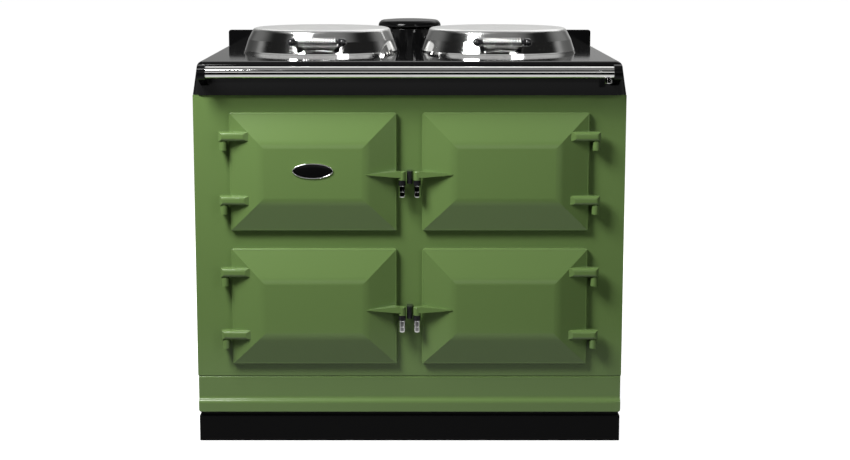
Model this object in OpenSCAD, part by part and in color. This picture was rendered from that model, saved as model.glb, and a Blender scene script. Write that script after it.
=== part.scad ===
// Cast iron range cooker: four hinged doors on a cast front plate, two domed hotplate
// lids with wire-wound handles, three cast ovens and a control recess, and a towel rail.
// Lengths in millimetres. X runs to the right, the front looks along -Y, Z is up, and the
// origin is on the floor at the middle of the overall box.

/* [Cabinet] */
// Overall depth of the top plate, without the rail
depth = 698; // [680:1:760]
// Height of the plinth
plinth_h = 60; // [40:1:90]
// Height of the shadow gap that the base plate leaves over the plinth
shadow_gap = 10; // [6:1:16]
// Height of the moulded base panel
base_panel_h = 84; // [70:1:110]
// Front plate left between a door and the side of the cabinet
side_margin = 82.25; // [70:0.25:100]
// Front plate left above the upper doors
top_margin = 38; // [30:1:60]
// Front plate left below the lower doors
bottom_margin = 32; // [24:1:60]
// Thickness of the cast front plate
front_plate_t = 10; // [8:1:14]
// Thickness of the folded side and back sheets
sheet_t = 3; // [2:0.5:4]
// Depth of the folded edge all round a side sheet
fold_w = 20; // [14:1:24]
// How far the top plate overhangs the back sheet
back_overhang = 32; // [30:1:45]
// How far the lower band of the base panel stands out
bead_step = 8; // [5:0.5:11]
// Height of the lower band of the base panel
bead_z = 21; // [14:1:34]
// Rounding of the two edges that meet at the seam over the base panel
seam_r = 3; // [1:0.5:4]
// Thickness of the plinth boards
board_t = 18; // [12:1:24]

/* [Top plate] */
// Height of the top plate, from the foot of its skirt to the cooking surface
top_h = 75.5; // [60:0.5:90]
// Thickness of the flat of the top plate
top_plate_t = 12; // [8:1:14]
// How far the skirt overhangs the front plate and the sides
lip_side = 2.25; // [1:0.25:5]
// How far the front plate stands behind the lip of the skirt
plate_setback = 4; // [2:0.5:6]
// Radius of the rounded top edge
edge_r = 15; // [12:0.5:20]
// How far the skirt flares out below the rounded edge
edge_draft = 9.5; // [5:0.5:12]
// Thickness of the skirt at its foot
skirt_t = 16; // [14:0.5:18]
// Height of the rear upstand
upstand_h = 37; // [25:1:50]
// How far the rear upstand stops short of each end of the top plate
upstand_in = 10.5; // [8:0.5:40]
// Thickness of the rear upstand
upstand_t = 16; // [10:1:18]

/* [Doors] */
// Width of a door
door_w = 381; // [370:1:392]
// Height of a door
door_h = 272.5; // [264:0.5:280]
// Gap between the left and right doors
door_gap_x = 56; // [52:1:64]
// Gap between the upper and lower doors
door_gap_z = 40; // [34:1:52]
// Thickness of the door's outer edge
lip_t = 12.5; // [10:0.5:15]
// Radius of the rounded outer edge
lip_r = 5; // [2:0.5:6]
// Width of the sloping border round the flat panel
bevel_w = 71; // [60:1:78]
// Rise of the sloping border
bevel_rise = 26; // [18:1:30]
// Radius of the soft crease round the flat panel
crease_r = 60; // [8:1:70]
// Corner radius of a door
door_corner_r = 8; // [5:1:14]
// Wall of the hollow casting
door_wall = 8; // [6:0.5:10]
// Running gap between the back of a door and the front plate
door_gap = 1.5; // [1:0.1:2]
// How far the insulated door liner reaches into the mouth of the oven
plug_d = 30; // [20:1:34]
// Gap round the door liner in the mouth
plug_gap = 8; // [6:0.5:10]

/* [Hinges and latches] */
// Distance from a door's edge out to its hinge pin
pin_out = 13; // [12:0.5:16]
// Distance from the front plate out to the hinge pin
pin_reach = 24; // [22:0.5:26]
// Diameter of a hinge pin
pin_d = 10; // [7:0.5:11]
// Height of a hinge lug
lug_h = 22; // [18:1:26]
// Thickness of a hinge lug round its pin
lug_d = 20; // [18:0.5:21]
// Length of a hinge lug inside the door's edge
lug_in = 46; // [36:1:50]
// Height of the hinge lugs over and under the middle of a door
lug_z = 73; // [60:1:90]
// Height the pair of hinge lugs is set above the middle of a door
lug_up = 10; // [0:1:16]
// Height of a pintle boss
boss_h = 18.5; // [14:0.5:24]
// Length of the latch arm past the door's edge
arm_out = 19.5; // [18:0.5:20]
// Height of the latch arm at the door's edge
arm_h = 14; // [12:0.5:16]
// Height of the boss at the arm's end, which holds the grip
boss_len = 21; // [18:0.5:24]
// Diameter of the grip's barrel
grip_d = 15.6; // [12:0.2:16]
// Length of the grip's barrel
grip_len = 28; // [22:1:36]

/* [Rail] */
// Diameter of the rail
rail_d = 26; // [20:1:30]
// Wall of the rail's tube
rail_wall = 2; // [1.5:0.5:3]
// Distance from the lip of the top plate out to the middle of the rail
rail_reach = 50; // [42:1:65]
// Height of the rail's middle below the cooking surface
rail_drop = 20; // [16:1:26]
// Distance from the end of the top plate in to a rail bracket
rail_in = 21.5; // [20:0.5:50]
// Width of a rail bracket
bracket_w = 18; // [14:1:20]

/* [Hotplates and lids] */
// Distance between the middles of the two hotplates
hotplate_pitch = 433; // [425:1:440]
// Distance from the lip of the top plate back to the hotplates' middles
hotplate_back = 351; // [340:1:356]
// How far a lid reaches past the edge of its hotplate
lid_lap = 16.5; // [14:0.5:28]
// Thickness of a hotplate
hotplate_t = 45; // [36:1:50]
// How far a hotplate stands over the top plate
hotplate_rise = 9; // [4:0.5:10]
// Outer diameter of a lid at its foot
lid_d = 379; // [374:1:390]
// Height of a lid's crown over its foot
lid_h = 59; // [54:1:70]
// Wall of a lid
lid_wall = 2.5; // [1.5:0.5:4]
// Thickness of the flat ring that a lid rests on
ring_t = 3; // [2:0.5:4]
// Height of a lid handle over the foot of the lid
handle_z = 32; // [28:1:36]
// Distance from the foot of the lid out to the handle
handle_out = 17.5; // [14:0.5:24]
// Length of the wound part of a lid handle
coil_len = 100; // [90:1:106]
// Outer diameter of the handle's winding
coil_d = 21; // [19:0.5:23]
// Thickness of the handle's wire
wire_d = 4.4; // [4:0.1:4.6]
// Turns of the handle's winding
coil_turns = 14; // [10:1:14]
// Distance from a lid's foot back to its hinge pin
lid_pin_out = 25.5; // [24:0.5:30]
// Height of a lid's hinge pin over the top plate
lid_pin_z = 25; // [20:1:28]
// Diameter of a lid's hinge pin
lid_pin_d = 10; // [8:0.5:12]

/* [Ovens] */
// How far the sides of an oven stand back from its mouth
oven_side = 5.5; // [4:0.5:10]
// How far the roof and the floor of an oven stand back from its mouth
oven_over = 11.25; // [8:0.25:14]
// Inside depth of an oven
oven_d = 485; // [440:1:500]
// Wall of an oven casting
oven_wall = 8; // [6:0.5:10]
// Height of the lowest shelf runner over the oven's floor
runner_z = 30; // [20:1:40]
// Distance between shelf runners
runner_pitch = 65; // [50:1:80]
// How far a shelf runner stands out of the oven's side
runner_out = 8; // [7:0.5:10]
// Diameter of the shelves' outer rods
rod_d = 6; // [5:0.5:8]
// Diameter of the shelves' inner bars
bar_d = 4; // [3:0.5:5]
// Number of inner bars in a shelf
bars = 11; // [7:1:13]
// Depth of the control recess
recess_d = 150; // [130:1:200]
// How far the control panel stands behind the front plate
panel_back = 60; // [52:1:80]
// Diameter of a control knob
knob_d = 36; // [30:1:44]
// Distance between control knobs
knob_pitch = 90; // [80:1:95]

/* [Flue and supply] */
// Diameter of the flue outlet
flue_d = 150; // [130:1:156]
// Distance from the back of the top plate to the flue's middle
flue_back = 102; // [98:1:106]
// Height of the flue outlet over the top plate
flue_h = 48; // [36:1:54]
// Diameter of the flue cap
cap_d = 163; // [158:1:172]
// Thickness of the flue cap
cap_t = 20; // [16:1:24]
// Gap for the air under the flue cap
cap_gap = 3.5; // [3:0.5:8]
// Bore of the cable inlet
gland_d = 20; // [16:1:24]

/* [Hidden] */
$fn = 64;

enamel = "olivedrab";
black = [0.06, 0.06, 0.07];
polished = [0.78, 0.79, 0.8];
cast = [0.3, 0.3, 0.31];
seat = 0.3;       // gap left where one piece is seated on or in another
run = 0.05;       // radial clearance of a pin in its bore
through = 1;      // how far a cut runs past the face that it opens
eps = 0.01;       // overlap that joins two stretches of one solid
sunk = 0.03;      // depth at which a tangent line enters a round

// Widths and depths
body_w = 2 * (door_w + side_margin) + door_gap_x;
overall_w = body_w + 2 * lip_side;
rail_boss_r = rail_d / 2 + 4;
rail_len = overall_w - 2 * (rail_in + bracket_w);
upstand_w = overall_w - 2 * upstand_in;
hotplate_d = lid_d - 2 * lid_lap;
lip_y = -(depth - rail_reach - rail_boss_r) / 2;
back_y = lip_y + depth;
face_y = lip_y + plate_setback;
inner_y = face_y + front_plate_t;
sheet_y = back_y - back_overhang - sheet_t;

// Levels, from the floor up
panel_z = plinth_h + shadow_gap;
plate_z = panel_z + base_panel_h;
plate_h = bottom_margin + 2 * door_h + door_gap_z + top_margin;
skirt_z = plate_z + plate_h;
top_z = skirt_z + top_h;
row_z = [plate_z + bottom_margin + door_h / 2,
         plate_z + bottom_margin + door_h * 3 / 2 + door_gap_z];
LOWER = 0;
UPPER = 1;
LEFT = -1;
RIGHT = 1;

// Edge of the top plate: how far its flat starts from the lip, and its plan corner
flat_in = edge_draft + edge_r;
flat_corner_r = 4;
lip_corner_r = flat_in + flat_corner_r;

// Mouths, liners and seals follow the doors
column_x = door_gap_x / 2 + door_w / 2;
pivot_x = door_gap_x / 2 + door_w + pin_out;
mouth_lap = 22.5;
mouth_w = door_w - 2 * mouth_lap;
mouth_h = door_h - 2 * mouth_lap;
mouth_r = 12;
plug_w = mouth_w - 2 * plug_gap;
plug_h = mouth_h - 2 * plug_gap;
plug_wall = 2.5;
door_rim = mouth_lap + plug_gap + 9.5;
seal_out = 2.5;
seal_w = 8;
seal_depth = 3;
front_of_door = door_gap + lip_t + bevel_rise;

// Latch: the arm's middle is below the door's, and its boss hangs lower than the arm
arm_drop = 2.5;
arm_back = pin_reach - 1;
arm_boss_r = 8.5;
arm_top = -arm_drop + arm_h / 2;
grip_top = arm_top - boss_len;
grip_x = pin_out + door_w + arm_out - arm_boss_r;
grip_reach = front_of_door - 9;
collar_h = 11;
stem_r = 4;
stem_h = 10;
catch_w = 13;
catch_h = 29;

// Pintles
shoulder_h = 1.7;
shoulder_r = pin_d / 2 + 1.6;
lug_cap = 4;
boss_r = 8.5;

// Ovens
oven_w = mouth_w + 2 * oven_side;
oven_h = mouth_h + 2 * oven_over;
flange_t = 6;
flange_w = 12;
oven_corner_r = 14;
oven_y = inner_y;
oven_back_y = oven_y + oven_d + oven_wall;
runner_h = 5;
runner_in = 30;
runner_len = oven_d - 2 * runner_in;
shelf_z = runner_z + runner_h / 2 + seat + rod_d / 2;
insulation_top = row_z[UPPER] + oven_h / 2 + oven_wall + 14;
element_r = 4;
element_bend = 100;
element_front = 60;
element_back = 40;
ring_outer = 130;
ring_inner = 90;
ring_tail = 30;
vent_r = 15;
duct_tall = 80;

// Hotplates and lids
plate_x = hotplate_pitch / 2;
plate_y = lip_y + hotplate_back;
rope_gap = 2;
ring_in_r = hotplate_d / 2 + rope_gap;
ring_neck = 5;
ring_out_r = lid_d / 2 + 2;
hole_r = ring_in_r + ring_neck + seat;
ring_drop = 15;
lid_foot_z = top_z + ring_t;
lid_r = lid_d / 2;
pan_wall = 3;
pan_top_z = top_z + hotplate_rise - hotplate_t;
pan_r = hotplate_d / 2 - 3;
lid_pin_y = plate_y + lid_r + lid_pin_out;
knuckle_w = 39.4;
knuckle_r = lid_pin_d / 2 + 6;
cheek_t = 8;
cheek_gap = 0.3;

// Lid handle
handle_y = plate_y - lid_r - handle_out;
coil_r = (coil_d - wire_d) / 2;
coil_bend = wire_d;
core_r = coil_r - wire_d / 2 - 0.6;
ball_r = 9.5;
ball_gap = 0.8;
post_r = 5.5;

// Flue
flue_y = back_y - flue_back;
flue_wall = 8;
flue_hole_r = 50;
cap_side = cap_t - 4.5;
duct_half = 45;
duct_wall = 2;

// Supply
cover_w = 180;
cover_h = 110;
cover_d = 28;
cover_wall = 2;
cover_up = 60;
cover_z = panel_z + cover_up;
gland_len = 30;
gland_nut_r = gland_d / 2 + 4;

/* Helpers */

// Rectangle with round corners, about its middle
module rrect(w, h, r) {
    square([w - 2 * r, h], center = true);
    square([w, h - 2 * r], center = true);
    for (x = [-1, 1], y = [-1, 1])
        translate([x * (w / 2 - r), y * (h / 2 - r)]) circle(r = r);
}

// An outline drawn in X and Z, run from y0 back over t
module upright(y0, t) {
    translate([0, y0 + t, 0]) rotate([90, 0, 0]) linear_extrude(t) children();
}

// An outline drawn in Y and Z, run from x0 to the right over t
module across(x0, t) {
    translate([x0, 0, 0]) rotate([90, 0, 90]) linear_extrude(t) children();
}

// A rod along X, Y or Z, from its middle
module rod_x(r, len) rotate([0, 90, 0]) cylinder(r = r, h = len, center = true);
module rod_y(r, len) rotate([90, 0, 0]) cylinder(r = r, h = len, center = true);

// A hollow box, open or closed, from its lowest corner
module box(low, high) translate(low) cube(high - low);

// Where the line from p touches the upper side of the circle about c
function touch(p, c, r) =
    let (d = norm(c - p), turn = atan2(c[1] - p[1], c[0] - p[0]) + asin(r / d),
         reach = sqrt(d * d - r * r))
    p + reach * [cos(turn), sin(turn)];

// Half of a domed section: a crown of one large radius down to a round shoulder, which has
// its middle at [x, z] and the radius r
module domed(x, z, r, top) {
    dip = top - z - r + sunk;
    crown = (x * x + dip * dip) / (2 * dip);
    intersection() {
        union() {
            translate([0, z]) square([x, 2 * r]);
            translate([x, z]) circle(r = r);
        }
        translate([0, top - crown]) circle(r = crown, $fn = 256);
        translate([0, z]) square([x + r, 2 * r]);
    }
}

// Both sides of the cabinet
module both() {
    children();
    mirror([1, 0, 0]) children();
}

/* Plinth and cabinet */

module plinth() color(black) {
    half = body_w / 2 - 2;
    front = face_y - 2;
    back = sheet_y + sheet_t - 4;
    side_front = front + board_t + seat;
    translate([-half, front, 0]) cube([2 * half, board_t, plinth_h]);
    both() translate([half - board_t, side_front, 0])
        cube([board_t, back - side_front, plinth_h]);
    translate([-half + board_t + seat, back - board_t, 0])
        cube([2 * (half - board_t - seat), board_t, plinth_h]);
}

module base_plate() color(black)
    box([-body_w / 2 + 5, face_y + 3, plinth_h],
        [body_w / 2 - 5, sheet_y + sheet_t, panel_z]);

// Section of the base panel: round-topped and flat above, then an S-shaped moulding that is
// twice as high as it stands out, and a thicker band below
module base_panel_section() {
    foot_r = 3;
    t = front_plate_t;
    s = bead_step;
    turn_r = 1.25 * s;
    square([t, base_panel_h - seam_r]);
    translate([seam_r, 0]) square([t - seam_r, base_panel_h]);
    translate([seam_r, base_panel_h - seam_r]) circle(r = seam_r);
    translate([-s, foot_r]) square([s + t, bead_z - foot_r]);
    translate([-s + foot_r, 0]) square([s + t - foot_r, bead_z]);
    translate([-s + foot_r, foot_r]) circle(r = foot_r);
    intersection() {
        translate([turn_r - s, bead_z]) circle(r = turn_r);
        translate([-s, bead_z]) square([s + eps, s]);
    }
    difference() {
        translate([-s / 2, bead_z + s]) square([s / 2 + eps, s]);
        translate([-turn_r, bead_z + 2 * s]) circle(r = turn_r);
    }
}

module base_panel() color(enamel) {
    w = body_w - 3;
    corner_r = 7;
    intersection() {
        translate([0, face_y, panel_z]) across(-w / 2, w) base_panel_section();
        translate([0, 0, panel_z]) upright(face_y - bead_step - through,
                bead_step + front_plate_t + 2 * through)
            union() {
                translate([0, base_panel_h / 2]) rrect(w, base_panel_h, corner_r);
                translate([-w / 2, corner_r]) square([w, base_panel_h - corner_r]);
            }
    }
}

module front_plate() color(enamel) difference() {
    corner_r = 5;
    upright(face_y, front_plate_t) difference() {
        union() {
            translate([0, plate_z + plate_h / 2]) rrect(body_w, plate_h, corner_r);
            translate([-body_w / 2, plate_z + corner_r])
                square([body_w, plate_h - corner_r]);
        }
        for (side = [LEFT, RIGHT], row = [LOWER, UPPER])
            translate([side * column_x, row_z[row]]) rrect(mouth_w, mouth_h, mouth_r);
    }
    translate([0, face_y, plate_z]) across(-body_w / 2 - through, body_w + 2 * through)
        difference() {
            translate([-through, -through]) square(seam_r + through);
            translate([seam_r, seam_r]) circle(r = seam_r);
        }
}

// A side is a shallow folded tray, open inwards
module side_panels() color(enamel) both() difference() {
    outer = body_w / 2;
    box([outer - fold_w, inner_y, panel_z], [outer, sheet_y, skirt_z]);
    box([outer - fold_w - through, inner_y + sheet_t, panel_z + sheet_t],
        [outer - sheet_t, sheet_y - sheet_t, skirt_z - sheet_t]);
}

module back_panel() color("lightslategray") {
    slot_w = 60;
    slot_h = 4;
    slot_pitch = 12;
    slots = 9;
    half = body_w / 2 - 0.5;
    upper_half = overall_w / 2 - flat_in - 1;
    difference() {
        union() {
            box([-half, sheet_y, panel_z], [half, sheet_y + sheet_t, skirt_z]);
            box([-upper_half, sheet_y, skirt_z - eps],
                [upper_half, sheet_y + sheet_t, top_z - top_plate_t]);
        }
        for (side = [LEFT, RIGHT], i = [0:slots - 1])
            translate([side * column_x - slot_w / 2, sheet_y - through,
                       skirt_z - 70 - i * slot_pitch])
                cube([slot_w, sheet_t + 2 * through, slot_h]);
        translate([0, sheet_y + sheet_t / 2, cover_z + cover_h / 2])
            rod_y(12, sheet_t + 2 * through);
    }
}

/* Top plate, upstand and flue */

// Section of the skirt, measured inwards from the lip
module skirt_section() {
    centre = [flat_in, top_z - edge_r];
    foot = [0, skirt_z];
    polygon([foot, touch(foot, centre, edge_r - sunk), centre,
             [flat_in, centre[1] - 6], [skirt_t, centre[1] - 16], [skirt_t, skirt_z]]);
    intersection() {
        translate(centre) circle(r = edge_r);
        translate([0, centre[1] - eps]) square([flat_in, edge_r + eps]);
    }
}

module top_plate() color(black) difference() {
    union() {
        translate([0, 0, top_z - top_plate_t]) linear_extrude(top_plate_t) {
            half = overall_w / 2 - flat_in;
            front = lip_y + flat_in;
            translate([-half, front + flat_corner_r])
                square([2 * half, back_y - front - flat_corner_r]);
            translate([-half + flat_corner_r, front])
                square([2 * (half - flat_corner_r), 2 * flat_corner_r]);
            for (side = [LEFT, RIGHT])
                translate([side * (half - flat_corner_r), front + flat_corner_r])
                    circle(r = flat_corner_r);
        }
        translate([0, lip_y, 0])
            across(-overall_w / 2 + lip_corner_r, overall_w - 2 * lip_corner_r)
                skirt_section();
        both() {
            translate([-overall_w / 2, 0, 0])
                upright(lip_y + lip_corner_r, depth - lip_corner_r) skirt_section();
            translate([-overall_w / 2 + lip_corner_r, lip_y + lip_corner_r, 0])
                rotate([0, 0, 180]) rotate_extrude(angle = 90)
                    translate([lip_corner_r, 0]) mirror([1, 0]) skirt_section();
        }
    }
    for (side = [LEFT, RIGHT])
        translate([side * plate_x, plate_y, top_z - top_plate_t - through])
            cylinder(r = hole_r, h = top_plate_t + 2 * through);
    translate([0, flue_y, top_z - top_plate_t - through])
        cylinder(r = flue_hole_r, h = top_plate_t + 2 * through);
}

// The upstand's ends come down over the rounded side edges of the top plate
module upstand() color(black) upright(back_y - upstand_t - 3, upstand_t) {
    corner_r = 6;
    drop = edge_r * 0.7;
    h = upstand_h + drop;
    difference() {
        translate([0, top_z - drop]) {
            translate([0, h / 2]) rrect(upstand_w, h, corner_r);
            translate([-upstand_w / 2, 0]) square([upstand_w, h - corner_r]);
        }
        translate([-overall_w / 2 + flat_in, top_z - 2 * drop])
            square([overall_w - 2 * flat_in, 2 * drop]);
        for (side = [LEFT, RIGHT]) mirror([side == RIGHT ? 1 : 0, 0])
            translate([-overall_w / 2, 0]) skirt_section();
    }
}

module flue_outlet() color(black) translate([0, flue_y, top_z]) rotate_extrude() {
    flange = 4;
    r = flue_d / 2;
    translate([r - flue_wall - 4, 0]) square([flue_wall + 4 + 2, flange]);
    translate([r - flue_wall, 0]) square([flue_wall, flue_h - 3]);
    translate([r - flue_wall, 0]) square([flue_wall - 3, flue_h]);
    translate([r - 3, flue_h - 3]) circle(r = 3);
}

// The cap is widest at its lower edge, with a rounded shoulder and a low crown
module flue_cap() color(black) translate([0, flue_y, top_z + flue_h]) {
    r = cap_d / 2;
    edge = 1.5;
    legs = 3;
    translate([0, 0, cap_gap]) rotate_extrude() difference() {
        union() {
            domed(r - cap_side, edge, cap_side, cap_t);
            square([r - edge, edge]);
            translate([r - edge, edge]) circle(r = edge);
        }
        square([r - cap_side - 6, 4]);
    }
    for (i = [0:legs - 1]) rotate([0, 0, 90 + i * 360 / legs])
        translate([flue_d / 2 - flue_wall / 2 - 1, 0, 0])
            cylinder(r = 2.2, h = cap_gap + cap_side / 2);
}

// Sheet duct from the roasting oven's vent to the flue outlet
module flue_duct() color("silver") {
    y0 = oven_back_y + seat;
    y1 = flue_y + duct_half;
    z0 = row_z[UPPER] - duct_tall / 2;
    z1 = row_z[UPPER] + duct_tall / 2;
    z2 = top_z - top_plate_t - seat;
    x1 = column_x + 45;
    w = duct_wall;
    difference() {
        union() {
            box([-duct_half, y0, z0], [x1, y1, z1]);
            box([-duct_half, y0, z0], [duct_half, y1, z2]);
        }
        box([-duct_half + w, y0 + w, z0 + w], [x1 - w, y1 - w, z1 - w]);
        box([-duct_half + w, y0 + w, z0 + w], [duct_half - w, y1 - w, z2 + through]);
        translate([column_x, y0, row_z[UPPER]]) rod_y(vent_r, 4 * w);
    }
}

/* Hotplates */

module at_hotplate(side) translate([side * plate_x, plate_y, 0]) children();

module hotplates() color(cast) for (side = [LEFT, RIGHT]) at_hotplate(side)
    translate([0, 0, pan_top_z]) rotate_extrude() {
        edge = 2;
        r = hotplate_d / 2;
        square([r, hotplate_t - edge]);
        square([r - edge, hotplate_t]);
        translate([r - edge, hotplate_t - edge]) circle(r = edge);
    }

module hotplate_rings() color(polished) for (side = [LEFT, RIGHT]) at_hotplate(side)
    difference() {
        union() {
            translate([0, 0, top_z]) cylinder(r = ring_out_r, h = ring_t);
            translate([0, 0, top_z - ring_drop])
                cylinder(r = ring_in_r + ring_neck, h = ring_drop + eps);
        }
        translate([0, 0, top_z - ring_drop - through])
            cylinder(r = ring_in_r, h = ring_drop + ring_t + 2 * through);
    }

module element_pans() color("silver") for (side = [LEFT, RIGHT]) at_hotplate(side)
    difference() {
        translate([0, 0, insulation_top]) cylinder(r = pan_r, h = pan_top_z - insulation_top);
        translate([0, 0, insulation_top + pan_wall])
            cylinder(r = pan_r - pan_wall, h = pan_top_z - insulation_top);
    }

// A tubular element: two open rings, a turn that joins them and two tails
module ring_element() {
    gap = 16;
    for (r = [ring_outer, ring_inner]) rotate([0, 0, gap]) rotate_extrude(angle = 360 - 2 * gap)
        translate([r, 0]) circle(r = element_r);
    mid = (ring_outer + ring_inner) / 2;
    rotate([0, 0, gap]) translate([mid, 0, 0]) rotate([0, 0, 180])
        rotate_extrude(angle = 180) translate([(ring_outer - ring_inner) / 2, 0])
            circle(r = element_r);
    for (r = [ring_outer, ring_inner]) rotate([0, 0, -gap]) translate([r, 0, 0]) {
        sphere(r = element_r);
        mirror([0, 0, 1]) cylinder(r = element_r, h = ring_tail);
    }
}

module hotplate_elements() color(cast) for (side = [LEFT, RIGHT]) at_hotplate(side)
    translate([0, 0, pan_top_z - element_r - seat]) rotate([0, 0, 90]) ring_element();

/* Ovens */

// A cast box, open to the front, with a flange behind the front plate
module oven_casting(side, row, inside_d) translate([side * column_x, 0, row_z[row]])
    difference() {
        union() {
            upright(oven_y, inside_d + oven_wall)
                rrect(oven_w + 2 * oven_wall, oven_h + 2 * oven_wall,
                      oven_corner_r + oven_wall);
            upright(oven_y, flange_t)
                rrect(oven_w + 2 * (oven_wall + flange_w), oven_h + 2 * (oven_wall + flange_w),
                      oven_corner_r + oven_wall);
        }
        upright(oven_y - through, inside_d + through) rrect(oven_w, oven_h, oven_corner_r);
    }

module oven(side, row, vented = false) color(cast) {
    translate([side * column_x, 0, row_z[row]]) for (i = [0:2])
        both() translate([oven_w / 2 - runner_out, oven_y + runner_in,
                          -oven_h / 2 + runner_z + i * runner_pitch - runner_h / 2])
            cube([runner_out + eps, runner_len, runner_h]);
    difference() {
        oven_casting(side, row, oven_d);
        if (vented) translate([side * column_x, oven_back_y, row_z[row]])
            rod_y(vent_r, 4 * oven_wall);
    }
}

module roasting_oven() oven(RIGHT, UPPER, vented = true);
module simmering_oven() oven(RIGHT, LOWER);
module baking_oven() oven(LEFT, LOWER);

// A wire shelf, resting on the lowest runners
module shelf() {
    x = oven_w / 2 - 2 - rod_d / 2;
    y = runner_len / 2 - 4;
    for (s = [-1, 1]) {
        translate([s * x, 0, 0]) rod_y(rod_d / 2, 2 * y);
        translate([0, s * y, 0]) rod_x(rod_d / 2, 2 * x);
        for (t = [-1, 1]) translate([s * x, t * y, 0]) sphere(r = rod_d / 2);
    }
    for (i = [1:bars]) translate([-x + 2 * x * i / (bars + 1), 0, 0]) rod_y(bar_d / 2, 2 * y);
}

module oven_shelves() color(polished)
    for (at = [[RIGHT, UPPER], [RIGHT, LOWER], [LEFT, LOWER]])
        translate([at[0] * column_x, oven_y + runner_in + runner_len / 2,
                   row_z[at[1]] - oven_h / 2 + shelf_z]) shelf();

// A hairpin element under the floor of each oven
module oven_elements() color(cast) for (at = [[RIGHT, UPPER], [RIGHT, LOWER], [LEFT, LOWER]])
    translate([at[0] * column_x, 0, row_z[at[1]] - oven_h / 2 - oven_wall - seat - element_r]) {
        y0 = oven_y + element_front;
        y1 = oven_y + oven_d - element_bend - element_back;
        for (s = [-1, 1]) translate([s * element_bend, (y0 + y1) / 2, 0])
            rod_y(element_r, y1 - y0);
        translate([0, y1, 0]) rotate_extrude(angle = 180)
            translate([element_bend, 0]) circle(r = element_r);
    }

module insulation() color("wheat") {
    half = body_w / 2 - fold_w - seat;
    y0 = inner_y + flange_t + seat;
    grow = 2 * seat;
    pocket = element_bend + element_r + 2;
    difference() {
        box([-half, y0, panel_z], [half, oven_back_y, insulation_top]);
        for (side = [LEFT, RIGHT], row = [LOWER, UPPER])
            translate([side * column_x, 0, row_z[row]])
                upright(y0 - through, oven_d + oven_wall + 2 * through)
                    rrect(oven_w + 2 * oven_wall + grow, oven_h + 2 * oven_wall + grow,
                          oven_corner_r + oven_wall);
        for (at = [[RIGHT, UPPER], [RIGHT, LOWER], [LEFT, LOWER]])
            translate([at[0] * column_x, 0, row_z[at[1]] - oven_h / 2 - oven_wall])
                box([-pocket, y0 - through, -2 * element_r - 2 * seat],
                    [pocket, oven_y + oven_d - 20, 1]);
    }
}

/* Controls */

module control_box() color("silver") oven_casting(LEFT, UPPER, recess_d);

knob_y = inner_y + panel_back;
knob_len = 20;
shaft_r = 3;
shaft_len = 16;

module at_knob(i) translate([-column_x + (i - 1) * knob_pitch, knob_y, row_z[UPPER]])
    rotate([90, 0, 0]) children();

// The fascia in the recess, with a thermostat behind each knob
module control_panel() color("gainsboro") {
    panel_t = 3;
    thermostat_r = 18;
    thermostat_h = 30;
    difference() {
        union() {
            translate([-column_x, 0, row_z[UPPER]]) upright(knob_y, panel_t)
                rrect(oven_w - 2 * seat, oven_h - 2 * seat, oven_corner_r);
            for (i = [0:2]) at_knob(i)
                translate([0, 0, -panel_t - thermostat_h])
                    cylinder(r = thermostat_r, h = thermostat_h + eps);
        }
        for (i = [0:2]) at_knob(i) translate([0, 0, -shaft_len - seat])
            cylinder(r = shaft_r + run, h = shaft_len + 2);
    }
}

module knob(i) color(black) at_knob(i) {
    skirt_h = 3;
    r = knob_d / 2;
    difference() {
        union() {
            translate([0, 0, seat]) cylinder(r = r, h = skirt_h);
            translate([0, 0, seat]) cylinder(r = r * 0.78, h = knob_len - 2);
            translate([0, 0, seat + knob_len - 2]) cylinder(r1 = r * 0.78, r2 = r * 0.7, h = 2);
            translate([0, 0, -shaft_len]) cylinder(r = shaft_r, h = shaft_len + 2);
        }
        for (s = [-1, 1]) translate([s * r * 0.62 - r * 0.34, -r, seat + skirt_h + 2])
            cube([r * 0.68, 2 * r, knob_len]);
    }
}

/* Doors: drawn with X in from the hinge pin, Y up and Z out from the front plate */

module at_door(side, row) translate([side * pivot_x, face_y, row_z[row]])
    mirror([side > 0 ? 1 : 0, 0, 0]) rotate([90, 0, 0]) children();

// Section across a door: round-edged lip, slope, rounded crease, flat panel
module hipped_section(span, edge_t, r, slope_w, rise, crease) {
    half = span / 2;
    fall = atan2(rise, slope_w - r);
    cut = crease * tan(fall / 2);
    top = edge_t + rise;
    middle = [half - slope_w - cut, top - crease];
    meet = [half - slope_w + cut * cos(fall), top - cut * sin(fall)];
    translate([-half, 0]) square([span, edge_t - r]);
    for (s = [-1, 1]) translate([s * (half - r), edge_t - r]) circle(r = r);
    if (crease > 0) {
        for (s = [0, 1]) mirror([s, 0]) {
            polygon([[0, 0], [0, top], [middle[0], top], middle, meet, [half - r, edge_t],
                     [half - r, 0]]);
            intersection() {
                translate(middle) circle(r = crease + sunk);
                translate(middle - [crease, 0]) square([2 * crease, 2 * crease]);
            }
        }
    } else
        polygon([[-half + r, 0], [-half + r, edge_t], [-half + slope_w, top],
                 [half - slope_w, top], [half - r, edge_t], [half - r, 0]]);
}

// The hipped form is where the sections along both spans and the plan agree
module hipped(w, h, corner_r, edge_t, r, slope_w, rise, crease = 0) intersection() {
    rotate([90, 0, 0]) linear_extrude(h + 2 * through, center = true)
        hipped_section(w, edge_t, r, slope_w, rise, crease);
    rotate([90, 0, 90]) linear_extrude(w + 2 * through, center = true)
        hipped_section(h, edge_t, r, slope_w, rise, crease);
    linear_extrude(edge_t + rise + through) rrect(w, h, corner_r);
}

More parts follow.
